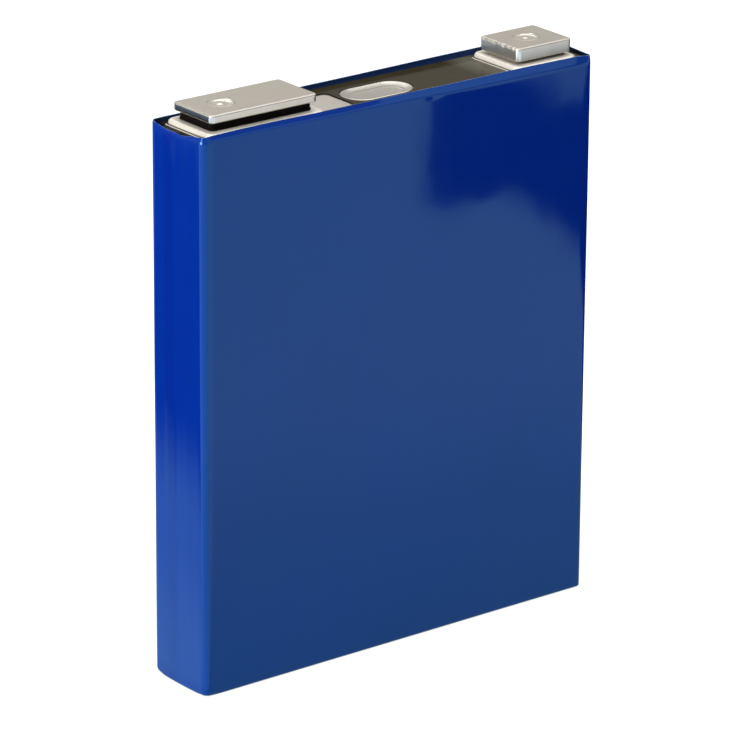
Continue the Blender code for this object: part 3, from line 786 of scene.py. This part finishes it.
def make_block(name, side_paint, node, post, chips):
    """Flat block with soft edges and the bore of its post. chips roughens the upper left edge."""
    low, high = box_mm(node)
    box = (low.x, high.x, low.y, high.y)
    stations = outline(box, BLOCK_CORNER, BLOCK_SPACING, 9)
    edges = []
    for station in stations:
        edge = BLOCK_EDGE
        if station.side == "left":
            bite = noise.noise(Vector((0.3, station.y / CHIP_LENGTH, 2.0)))
            edge *= 1.0 + chips * (CHIP_MEAN + bite)
        edges.append(max(edge, CHIP_LEAST))
    quarter = [math.pi / 2 * step / BEVEL_STEPS for step in range(BEVEL_STEPS + 1)]
    rings = []
    for a in quarter:
        inset = BLOCK_EDGE * (1 - math.sin(a))
        z = low.z + BLOCK_EDGE * (1 - math.cos(a))
        rings.append([station.at(inset, z) for station in stations])
    for a in quarter:
        ring = []
        for station, edge in zip(stations, edges):
            ring.append(station.at(edge * (1 - math.cos(a)), high.z - edge * (1 - math.sin(a))))
        rings.append(ring)
    body = Shell()
    under, over = body.stack(rings)
    x = post_centre(post)
    head = HEAD_RADIUS + HEAD_GAP
    bore = (
        (STEM_RADIUS + STEM_GAP, low.z),
        (STEM_RADIUS + STEM_GAP, high.z - HEAD_DEPTH),
        (head, high.z - HEAD_STRAIGHT),
        (head, high.z - BORE_BREAK[1]),
        (head + BORE_BREAK[0], high.z),
    )
    exit_ring, mouth = body.stack([circle(x, 0.0, r, z) for r, z in bore])
    body.cap(under, exit_ring)
    body.cap(over, mouth)
    sides = (BEVEL_STEPS + 1) * len(stations)
    upper_edge = sides + BEVEL_STEPS * len(stations)
    # Sides and lower bevel take a lighter copy of the block metal: painted light
    body.painted.append((side_paint, range(sides)))
    # The upper bevel takes a darker, rougher copy of the metal: painted shade that dims its highlight
    body.painted.append((EDGE_SHADE_PAINT, range(sides, upper_edge)))
    return body.build(name, BLOCK_PAINT, node)


def make_post(name, node):
    """Riveted post with a dished head and a low dome in its middle."""
    low, high = box_mm(node)
    x = post_centre(node)
    top = high.z
    profile = [(radius, low.z + rise) for radius, rise in POST_FOOT]
    profile.append((STEM_RADIUS, low.z + POST_FOOT[-1][1]))
    profile.append((STEM_RADIUS, top - HEAD_DEPTH + HEAD_CLEAR))
    profile.append((HEAD_RADIUS, top - HEAD_STRAIGHT + 2 * HEAD_CLEAR))
    profile += [(HEAD_RADIUS - inset, top - drop) for inset, drop in POST_EDGE]
    shares = [step / DISH_STEPS for step in range(DISH_STEPS + 1)]
    for share in shares:
        ease = share * share * (3 - 2 * share)
        radius = DISH_OUTER + (DISH_INNER - DISH_OUTER) * share
        profile.append((radius, top - DISH_START - (DISH_DEPTH - DISH_START) * ease))
    for share in shares:
        drop = DISH_DEPTH - DOME_HEIGHT * math.sin(math.pi / 2 * share) ** 2
        profile.append((DOME_RADIUS * (1 - share * (1 - DOME_TIP)), top - drop))
    body = Shell()
    first, last = body.stack([circle(x, 0.0, r, z) for r, z in profile])
    body.cap(first)
    body.fan(last, (x, 0.0, top - DISH_DEPTH + DOME_HEIGHT))
    return body.build(name, POST_PAINT, node, sharp=60.0)


# ---------------------------------------------------------------- lid and vent

LID_FACE = 174.2
LID_CORNER = 1.05
LID_SPACING = (20.0, 20.0)
LID_EDGE = 0.15
BOSS_ROUND = 1.2
BOSS_CORNER = 2.8
BOSS_SPACING = (6.0, 6.0)
BOSS_HALF_WIDTH = 11.4
BOSSES = ((-70.0, -27.0, "negative_post"), (45.4, 69.8, "positive_post"))
TERMINAL_HOLE = 4.6

# Fine rim round the foot of each boss, and the groove between rim and boss, with a near-black painted
# shadow over its floor and up the boss's foot. The reaches are how far they stand out from the boss, on its
# long sides and how much more on its ends.
RIM_TOP = 174.74
RIM_EDGE = 0.06
RIM_REACH = (0.38, 0.5)
RIM_INNER_REACH = (0.28, 0.22)
RIM_BACK_CUT = 0.3
# Groove floor, and how far up the boss's foot the painted shadow reaches
GROOVE_FLOOR = 0.05
FOOT_SHADOW_TOP = 174.92
FLOOR_GAP = 0.02
FOOT_TOE = 0.04
FOOT_RISE = 0.05

# Cut-outs of the lid, each a little larger than the piece in it
SEAT_GAP = 0.15
VENT_THROAT = (21.0, 9.6)
FILL_SEAT = 173.75
FILL_CORNER = 1.6
FILL_SPACING = (5.0, 5.0)
FILL_HOLE = (-20.0, 0.0, 1.7)

# Vent: one smooth bowl over its rim and flap
VENT_ROUND = 0.3
VENT_FOOT = 0.1
MOUTH_INSET = 0.45
FLAP_GAP = 0.06
BOWL_START = 0.01
BOWL_DEPTH = 0.99
BOWL_POWER = 2.6
BOWL_STEPS = 14
PANEL_SAG = 0.15
PANEL_SAG_INSET = 2.5
PANEL_EDGE = 0.05
PANEL_INSETS = (0.0, 0.04, 0.3, 0.6, 1.0, 1.15, 1.3, 1.45, 1.9, 2.4, 2.9, 3.4)
PANEL_DROPS = {0.0: 0.03, 1.15: 0.03, 1.3: 0.03}


def loop_at(stations, inset, z):
    return [station.at(inset, z) for station in stations]


def rim_loop(stations, reaches, inset, z):
    return [station.at(inset - reach, z) for station, reach in zip(stations, reaches)]


def obround(length, width, z, steps=24):
    """Loop of a slot with round ends, counter-clockwise."""
    radius = width / 2
    reach = length / 2 - radius
    loop = []
    for centre, turn in ((reach, -math.pi / 2), (-reach, math.pi / 2)):
        for step in range(steps + 1):
            a = turn + math.pi * step / steps
            loop.append((centre + radius * math.cos(a), radius * math.sin(a), z))
    return loop


def boss_reaches(stations):
    """How far the rim's outer and inner sides stand out at each station, closer at the back corners."""
    outside = []
    inside = []
    for station in stations:
        back = max(station.ny * abs(station.nx), 0.0)
        outside.append(RIM_REACH[0] + RIM_REACH[1] * station.nx**2 - RIM_BACK_CUT * back)
        inside.append(RIM_INNER_REACH[0] + RIM_INNER_REACH[1] * station.nx**2)
    return outside, inside


def add_boss(body, x0, x1, post, base, top):
    """Boss with its rim, groove and terminal hole. Returns its foot, the hole's exit and the faces of the
    painted shadow in the groove.
    """
    box = (x0, x1, -BOSS_HALF_WIDTH, BOSS_HALF_WIDTH)
    stations = outline(box, BOSS_CORNER, BOSS_SPACING, 12)
    outside, inside = boss_reaches(stations)
    floor_z = LID_FACE + GROOVE_FLOOR
    rings = [
        rim_loop(stations, outside, 0.0, LID_FACE),
        rim_loop(stations, outside, 0.0, RIM_TOP - RIM_EDGE),
        rim_loop(stations, outside, RIM_EDGE, RIM_TOP),
        rim_loop(stations, inside, 0.0, RIM_TOP),
        rim_loop(stations, inside, FLOOR_GAP, floor_z),
    ]
    flank = [(-FOOT_TOE, floor_z), (0.0, floor_z + FOOT_RISE), (0.0, FOOT_SHADOW_TOP)]
    flank += [(inset, top - drop) for inset, drop in rounding(BOSS_ROUND, 8)]
    rings += [loop_at(stations, inset, z) for inset, z in flank]
    first = len(body.faces)
    count = len(stations)
    foot, crown = body.stack(rings)
    x = post_centre(post)
    mouth, exit_ring = body.stack([circle(x, 0.0, TERMINAL_HOLE, z) for z in (top, base)])
    body.cap(crown, mouth)
    return foot, exit_ring, range(first + 3 * count, first + 7 * count)


def add_cut_out(body, seat_loops, hole_loops):
    """Seat sunk into the lid and a hole through its floor. Returns the mouth and the exit."""
    mouth, seat = body.stack(seat_loops)
    ledge, exit_ring = body.stack(hole_loops)
    body.cap(seat, ledge)
    return mouth, exit_ring


def make_lid():
    low, high = box_mm("lid_plate")
    base = low.z
    rim = outline((low.x, high.x, low.y, high.y), LID_CORNER, LID_SPACING, 5)
    sides = ((0.0, base), (0.0, LID_FACE - LID_EDGE), (LID_EDGE, LID_FACE))
    body = Shell()
    edge, face = body.stack([loop_at(rim, inset, z) for inset, z in sides])
    under = [edge]
    over = [face]
    shadow_faces = []
    for x0, x1, post in BOSSES:
        foot, exit_ring, faces = add_boss(body, x0, x1, post, base, high.z)
        over.append(foot)
        under.append(exit_ring)
        shadow_faces += faces

    low, high = box_mm("vent_rim")
    size = (high.x - low.x + 2 * SEAT_GAP, high.y - low.y + 2 * SEAT_GAP)
    seat_z = low.z - SEAT_GAP
    vent = (
        [obround(*size, z) for z in (LID_FACE, seat_z)],
        [obround(*VENT_THROAT, z) for z in (seat_z, base)],
    )
    low, high = box_mm("fill_port_plate")
    pocket = (low.x - SEAT_GAP, high.x + SEAT_GAP, low.y - SEAT_GAP, high.y + SEAT_GAP)
    stations = outline(pocket, FILL_CORNER, FILL_SPACING, 6)
    fill = (
        [loop_at(stations, 0.0, z) for z in (LID_FACE, FILL_SEAT)],
        [circle(*FILL_HOLE, z) for z in (FILL_SEAT, base)],
    )
    for seat_loops, hole_loops in (vent, fill):
        mouth, exit_ring = add_cut_out(body, seat_loops, hole_loops)
        over.append(mouth)
        under.append(exit_ring)
    body.cap(*over)
    body.cap(*under)
    # Painted shadow: the rim's inner side, the groove floor and the boss's foot are near black
    body.painted.append((plastic_paint("foot_shadow", FOOT_SHADOW_COLOUR, FOOT_SHADOW_WORN, 0.6), shadow_faces))
    return body.build("lid", LID_PAINT, "lid_plate")


def bowl_height(top, share):
    """Height of the vent's bowl, where share is 1 at its mouth and 0 on its middle line."""
    return top - BOWL_START - BOWL_DEPTH * (1.0 - share**BOWL_POWER)


def make_vent():
    """Smooth dish of the vent: a wide sloping rim, and the thin scored flap inside it."""
    low, high = box_mm("vent_rim")
    flap_low, flap_high = box_mm("vent_flap")
    length, width = high.x - low.x, high.y - low.y
    flap_length, flap_width = flap_high.x - flap_low.x, flap_high.y - flap_low.y
    top = high.z
    mouth_length, mouth_width = length - 2 * MOUTH_INSET, width - 2 * MOUTH_INSET
    inner_length, inner_width = flap_length + 2 * FLAP_GAP, flap_width + 2 * FLAP_GAP

    rings = [obround(length - 2 * VENT_FOOT, width - 2 * VENT_FOOT, low.z)]
    rings.append(obround(length, width, low.z + VENT_FOOT))
    for inset, drop in rounding(VENT_ROUND, 6):
        rings.append(obround(length - 2 * inset, width - 2 * inset, top - drop))
    for step in range(BOWL_STEPS + 1):
        share = step / BOWL_STEPS
        long = mouth_length + (inner_length - mouth_length) * share
        wide = mouth_width + (inner_width - mouth_width) * share
        rings.append(obround(long, wide, bowl_height(top, wide / mouth_width)))
    rings.append(obround(inner_length, inner_width, low.z))
    body = Shell()
    first, last = body.stack(rings)
    body.wall(last, first)
    body.build("vent_dish", VENT_PAINT, "vent_rim", sharp=60.0)

    base = flap_low.z
    below = ((PANEL_SAG_INSET, base - PANEL_SAG), (PANEL_EDGE, base), (0.0, base + PANEL_EDGE))
    rings = [obround(flap_length - 2 * i, flap_width - 2 * i, z) for i, z in below]
    for inset in PANEL_INSETS:
        wide = flap_width - 2 * inset
        z = bowl_height(top, wide / mouth_width) - PANEL_DROPS.get(inset, 0.0)
        rings.append(obround(flap_length - 2 * inset, wide, z))
    body = Shell()
    first, last = body.stack(rings)
    body.cap(first)
    body.cap(last)
    body.build("vent_panel", VENT_PAINT, "vent_flap", "vent", 60.0)


# ---------------------------------------------------------------- stage

SKY = 0.4
SKY_COLOUR = (1.0, 0.98, 0.95)
FLOOR_HALF = 6.0
FLOOR_GLOW = 0.6
FLOOR_TONE = 0.3
FLOOR_CONTRAST = 0.01
TABLE_HALF = 3.0
TABLE_DEPTH = 0.002


def plane(name, half, z):
    mesh = bpy.data.meshes.new(name)
    corners = [(-half, -half, z), (half, -half, z), (half, half, z), (-half, half, z)]
    mesh.from_pydata(corners, [], [(0, 1, 2, 3)])
    made = bpy.data.objects.new(name, mesh)
    bpy.context.scene.collection.objects.link(made)
    return made


def make_stage():
    """Pale floor and sky, and under the floor a glowing board that only reflections see."""
    scene = bpy.context.scene
    scene.view_settings.view_transform = "Standard"
    world = bpy.data.worlds.new("studio")
    world.use_nodes = True
    sky = world.node_tree.nodes["Background"]
    sky.inputs["Color"].default_value = (*SKY_COLOUR, 1.0)
    sky.inputs["Strength"].default_value = SKY
    scene.world = world

    floor = plane("floor", FLOOR_HALF, 0.0)
    dark = (FLOOR_TONE,) * 3
    light = (FLOOR_TONE + FLOOR_CONTRAST,) * 3
    paper = Paint("floor_paper", dark, 0.9)
    paper.colour(paper.mix(paper.noise(30.0, 4.0), dark, light))
    paper.shader.inputs["Emission Color"].default_value = (1.0, 1.0, 1.0, 1.0)
    paper.shader.inputs["Emission Strength"].default_value = FLOOR_GLOW
    floor.data.materials.append(paper.material)
    floor.visible_glossy = False

    table = plane("table_glow", TABLE_HALF, -TABLE_DEPTH)
    table.data.materials.append(glow_paint())
    for flag in ("camera", "diffuse", "transmission", "volume_scatter", "shadow"):
        setattr(table, "visible_" + flag, False)


# The board's zones, in metres on the floor. A pair (slope, limit) is the line where x + slope * y, or
# y + slope * x, comes to the limit. SOFT values are half the width of a zone's soft edge.
TABLE_GLOW = 1.15
TABLE_WHITE = (1.0, 1.0, 1.0)
TABLE_BLACK = (0.0, 0.0, 0.0)

# In front it is white, greener close to the cell. On the left it is tinted all over.
TABLE_NEAR = (0.5, 0.72, 0.6)
NEAR_FADE = (-0.24, 0.0)
SIDE_NEAR = (0.635, 0.983, 0.783)
SIDE_FAR = (0.426, 0.704, 0.696)
SIDE_FADE = (-0.085, -0.15)
SIDE_EDGE = (-0.075, -0.085)

# The bright corner zone, which the rounded front left corner of the film shows
CORNER_GLOW = (1.08, 1.27, 1.45)
CORNER_SOFT = 0.015
FRONT_LIMIT = (0.7243, -0.0834)
LEFT_LIMIT = (0.95, -0.0833)

# Dark zones: one on the left behind the cell's front, one far in front on the right
ZONE_SOFT = 0.003
LEFT_SHADE = -0.189
LEFT_SOFT = 0.03
SHADE_EDGE = (0.8, 0.0006)
SHADE_FRONT = -0.3465
SHADE_SIDE = (0.32, 0.206)
SHADE_SIDE_SOFT = 0.009

# Lighter patches within the right dark zone
PATCH_EDGE = (0.85, 0.0405)
PATCH_FRONT = -0.43
PATCH_GLOW = 0.75
FAR_FRONT = -0.465
FAR_FRONT_RISE = (0.41, 0.44)

# Far zones on the left and behind, which only the terminal blocks show
FAR_LEFT = -0.403
FAR_LEFT_GLOW = (0.08, 0.128, 0.247)
FAR_BACK = (1.4126, -0.035)
FAR_BACK_SOFT = 0.005
FAR_BACK_RISE = (-0.12, -0.16)
FAR_BACK_GLOW = (0.32, 0.35, 0.38)


class Board(Paint):
    """A glowing material whose colour depends on the place on a board."""

    def __init__(self, name):
        super().__init__(name, TABLE_WHITE, 1.0)
        self.x, self.y = self.axis("X"), self.axis("Y")

    def either(self, first, second):
        return self.maths("MAXIMUM", first, second)

    def slant(self, slope, source, other):
        """slope * source + other"""
        return self.maths("MULTIPLY_ADD", source, slope, other)

    def step(self, source, low, high):
        """Smooth rise from 0 at low to 1 at high."""
        made = self.node("ShaderNodeMapRange", interpolation_type="SMOOTHSTEP")
        made.inputs["From Min"].default_value = low
        made.inputs["From Max"].default_value = high
        self.link(source, made.inputs["Value"])
        return made.outputs["Result"]

    def above(self, source, limit, soft=ZONE_SOFT):
        return self.step(source, limit - soft, limit + soft)

    def below(self, source, limit, soft=ZONE_SOFT):
        return self.step(source, limit + soft, limit - soft)

    def finish(self, colour, strength):
        """Takes the usual shader out: the board only glows."""
        glow = self.node("ShaderNodeEmission")
        self.link(colour, glow.inputs["Color"])
        glow.inputs["Strength"].default_value = strength
        self.link(glow.outputs[0], self.tree.nodes["Material Output"].inputs["Surface"])
        self.tree.nodes.remove(self.shader)
        return self.material


def dark_zones(board):
    """Share of black on the board: the left and right dark zones, less the patches in the right one."""
    x, y = board.x, board.y
    edge = board.above(board.slant(SHADE_EDGE[0], y, x), SHADE_EDGE[1])
    side = board.above(board.slant(SHADE_SIDE[0], y, x), SHADE_SIDE[1], SHADE_SIDE_SOFT)
    right = board.times(edge, board.either(board.below(y, SHADE_FRONT), side))
    left = board.times(board.below(x, LEFT_SHADE, LEFT_SOFT), board.above(y, 0.0, LEFT_SOFT))
    patch = board.above(board.slant(PATCH_EDGE[0], y, x), PATCH_EDGE[1])
    patch = board.times(board.times(patch, board.below(y, PATCH_FRONT)), PATCH_GLOW)
    far_front = board.times(board.below(y, FAR_FRONT), board.step(x, *FAR_FRONT_RISE))
    return board.maths("SUBTRACT", board.either(left, right), board.either(patch, far_front))


def glow_paint():
    """The board's light: a guess at the studio that the photographed film mirrors."""
    board = Board("table_glow")
    x, y = board.x, board.y
    front = board.mix(board.step(y, *NEAR_FADE), TABLE_WHITE, TABLE_NEAR)
    left = board.mix(board.step(x, *SIDE_FADE), SIDE_NEAR, SIDE_FAR)
    colour = board.mix(board.step(x, *SIDE_EDGE), front, left)
    colour = board.mix(dark_zones(board), colour, TABLE_BLACK)
    colour = board.mix(board.below(x, FAR_LEFT), colour, FAR_LEFT_GLOW)

    far_back = board.above(board.slant(FAR_BACK[0], x, y), FAR_BACK[1], FAR_BACK_SOFT)
    far_back = board.times(far_back, board.step(x, *FAR_BACK_RISE))
    colour = board.mix(far_back, colour, FAR_BACK_GLOW)

    past_front = board.slant(FRONT_LIMIT[0], y, x)
    past_front = board.step(past_front, FRONT_LIMIT[1], FRONT_LIMIT[1] - CORNER_SOFT)
    past_left = board.slant(LEFT_LIMIT[0], x, y)
    past_left = board.step(past_left, LEFT_LIMIT[1], LEFT_LIMIT[1] - CORNER_SOFT)
    colour = board.mix(board.times(past_front, past_left), colour, CORNER_GLOW)
    return board.finish(colour, TABLE_GLOW)


# Each light: name, place, size, radiance and colour, in metres. All look at LIGHT_AIM.
LIGHT_AIM = (0.0, 0.0, 0.1)
WHITE = (1.0, 1.0, 1.0)
LIGHTS = (
    ("key_left", (-1.45, 0.0, 0.5), (1.0, 0.8), 20.5, (1.0, 0.99, 0.97)),
    ("overhead", (0.2, -0.15, 1.6), (2.4, 2.0), 3.6, WHITE),
    ("back_right", (1.15, 1.5, 0.85), (1.8, 1.2), 0.32, (1.0, 0.95, 0.87)),
    ("back_top", (0.3, 1.3, 1.25), (0.75, 0.55), 2.5, WHITE),
    ("front_right", (1.05, -1.3, 0.85), (1.6, 0.9), 0.8, WHITE),
)


def make_lights():
    for name, place, size, radiance, colour in LIGHTS:
        data = bpy.data.lights.new(name, "AREA")
        data.shape = "RECTANGLE"
        data.size, data.size_y = size
        data.energy = radiance * math.pi * size[0] * size[1]
        data.color = colour
        made = bpy.data.objects.new(name, data)
        made.location = place
        look = Vector(LIGHT_AIM) - Vector(place)
        made.rotation_euler = look.to_track_quat("-Z", "Y").to_euler()
        made.visible_camera = False
        bpy.context.scene.collection.objects.link(made)


# ---------------------------------------------------------------- finishes of the CAD nodes

LID_COLOUR = (0.43, 0.41, 0.36)
LID_DULL = (0.4, 0.38, 0.33)
# Painted shade for every part of the lid lower than its face, such as the cut-outs' walls and seats
LID_RECESS_SHADE = (0.03, 0.026, 0.02)
LID_ROUGHNESS = (0.36, 0.5)
LID_METALLIC = 0.4
LID_RELIEF = 0.000005
RECESS_SHADE_TOP = LID_FACE - 0.1
RECESS_SHADE_SOFT = 0.04
LID_PAINT = lid_paint()
# Near-black colours of the painted shadow round each boss's foot
FOOT_SHADOW_COLOUR = (0.05, 0.043, 0.034)
FOOT_SHADOW_WORN = (0.07, 0.06, 0.048)

COVER_TONE = (0.0165, 0.013, 0.0065)
COVER_WORN = (0.0195, 0.0155, 0.008)
# Paler tone of the cover beside the positive boss
COVER_PALER = (0.05, 0.047, 0.035)
COVER_DARK = (0.003, 0.003, 0.003)
COVER_GLOSS = 0.14
COVER_IOR = 1.08
COVER_PALER_EDGE = (0.034, 0.041)
COVER_DARK_EDGE = (-0.0695, -0.0715)

BLOCK_PAINT = metal_paint("block_metal", (0.45, 0.42, 0.372), (0.425, 0.397, 0.35), 0.34)
# Darker copy for the blocks' upper bevels: painted shade that dims their highlight
EDGE_SHADE_PAINT = metal_paint("edge_shade", (0.37, 0.35, 0.31), (0.34, 0.32, 0.28), 0.5)
# Lighter copies of the block metal for the blocks' sides: painted light, the sides brighter than the tops
NEGATIVE_LIT_SIDE_PAINT = metal_paint("negative_lit_side", (0.52, 0.485, 0.43), (0.48, 0.45, 0.4), 0.17)
POSITIVE_LIT_SIDE_PAINT = metal_paint("positive_lit_side", (0.57, 0.56, 0.53), (0.5, 0.49, 0.46), 0.32)
POST_PAINT = metal_paint("post_metal", (0.5, 0.47, 0.41), (0.46, 0.43, 0.38), 0.33)
VENT_PAINT = metal_paint("vent_metal", (0.36, 0.345, 0.31), (0.33, 0.315, 0.28), 0.32, 0.85)

# For each CAD node: material, colour, worn colour and roughness. A fifth value is the metallic share of a
# metal, or the refractive index of a plastic, where it isn't the usual one.
METALS = {
    "fill_port_plate": ("plate_metal", (0.4, 0.375, 0.335), (0.36, 0.335, 0.3), 0.4, 0.75),
    "case_can": ("can_metal", (0.62, 0.62, 0.63), (0.55, 0.55, 0.56), 0.38),
    "negative_collector": ("copper", (0.72, 0.36, 0.22), (0.6, 0.3, 0.18), 0.35),
    "positive_collector": ("plain_sheet", (0.68, 0.68, 0.68), (0.6, 0.6, 0.6), 0.4),
}
PLASTICS = {
    "negative_insulator": (
        "black_plastic", (0.0022, 0.0014, 0.0012), (0.003, 0.002, 0.0016), 0.35, 1.1
    ),
    "positive_gasket": ("brown_plastic", (0.09, 0.075, 0.055), (0.075, 0.06, 0.045), 0.4),
    "negative_seal": ("seal_rubber", (0.02, 0.02, 0.02), (0.03, 0.03, 0.03), 0.6),
    "bottom_pad": ("pad_board", (0.16, 0.24, 0.17), (0.13, 0.2, 0.14), 0.6),
    "negative_tray": ("natural_plastic", (0.7, 0.7, 0.66), (0.64, 0.64, 0.6), 0.5),
    "roll_front": ("separator", (0.72, 0.72, 0.7), (0.66, 0.66, 0.65), 0.55),
    "roll_tape_front": ("green_tape", (0.05, 0.3, 0.14), (0.04, 0.26, 0.12), 0.4),
    "insulating_bag": ("bag_film", (0.75, 0.77, 0.78), (0.7, 0.72, 0.73), 0.35),
}
SAME_AS = {
    "positive_block": "negative_block",
    "positive_post": "negative_post",
    "positive_seal": "negative_seal",
    "fill_port_plug": "negative_seal",
    "positive_tray": "negative_tray",
    "vent_guard": "negative_tray",
    "roll_base": "negative_tray",
    "negative_tabs_front": "negative_collector",
    "negative_tabs_back": "negative_collector",
    "positive_tabs_front": "positive_collector",
    "positive_tabs_back": "positive_collector",
    "roll_back": "roll_front",
    "roll_tape_back": "roll_tape_front",
}


def finish_nodes():
    """Gives every CAD node its material, except the film, which make_film shows."""
    paints = {
        "lid_plate": LID_PAINT,
        "negative_block": BLOCK_PAINT,
        "negative_post": POST_PAINT,
        "vent_rim": VENT_PAINT,
        "vent_flap": VENT_PAINT,
        "lid_cover": cover_paint(),
    }
    for name, finish in METALS.items():
        paints[name] = metal_paint(*finish)
    for name, finish in PLASTICS.items():
        paints[name] = plastic_paint(*finish)
    for name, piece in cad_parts.items():
        if name == "film_sleeve":
            continue
        piece.data.materials.clear()
        piece.data.materials.append(paints[SAME_AS.get(name, name)])


make_camera()
make_stage()
make_lights()
finish_nodes()
make_film()
make_lid()
make_vent()
make_block("negative_bar", NEGATIVE_LIT_SIDE_PAINT, "negative_block", "negative_post", 0.25)
make_block("positive_bar", POSITIVE_LIT_SIDE_PAINT, "positive_block", "positive_post", 2.0)
make_post("negative_rivet", "negative_post")
make_post("positive_rivet", "positive_post")
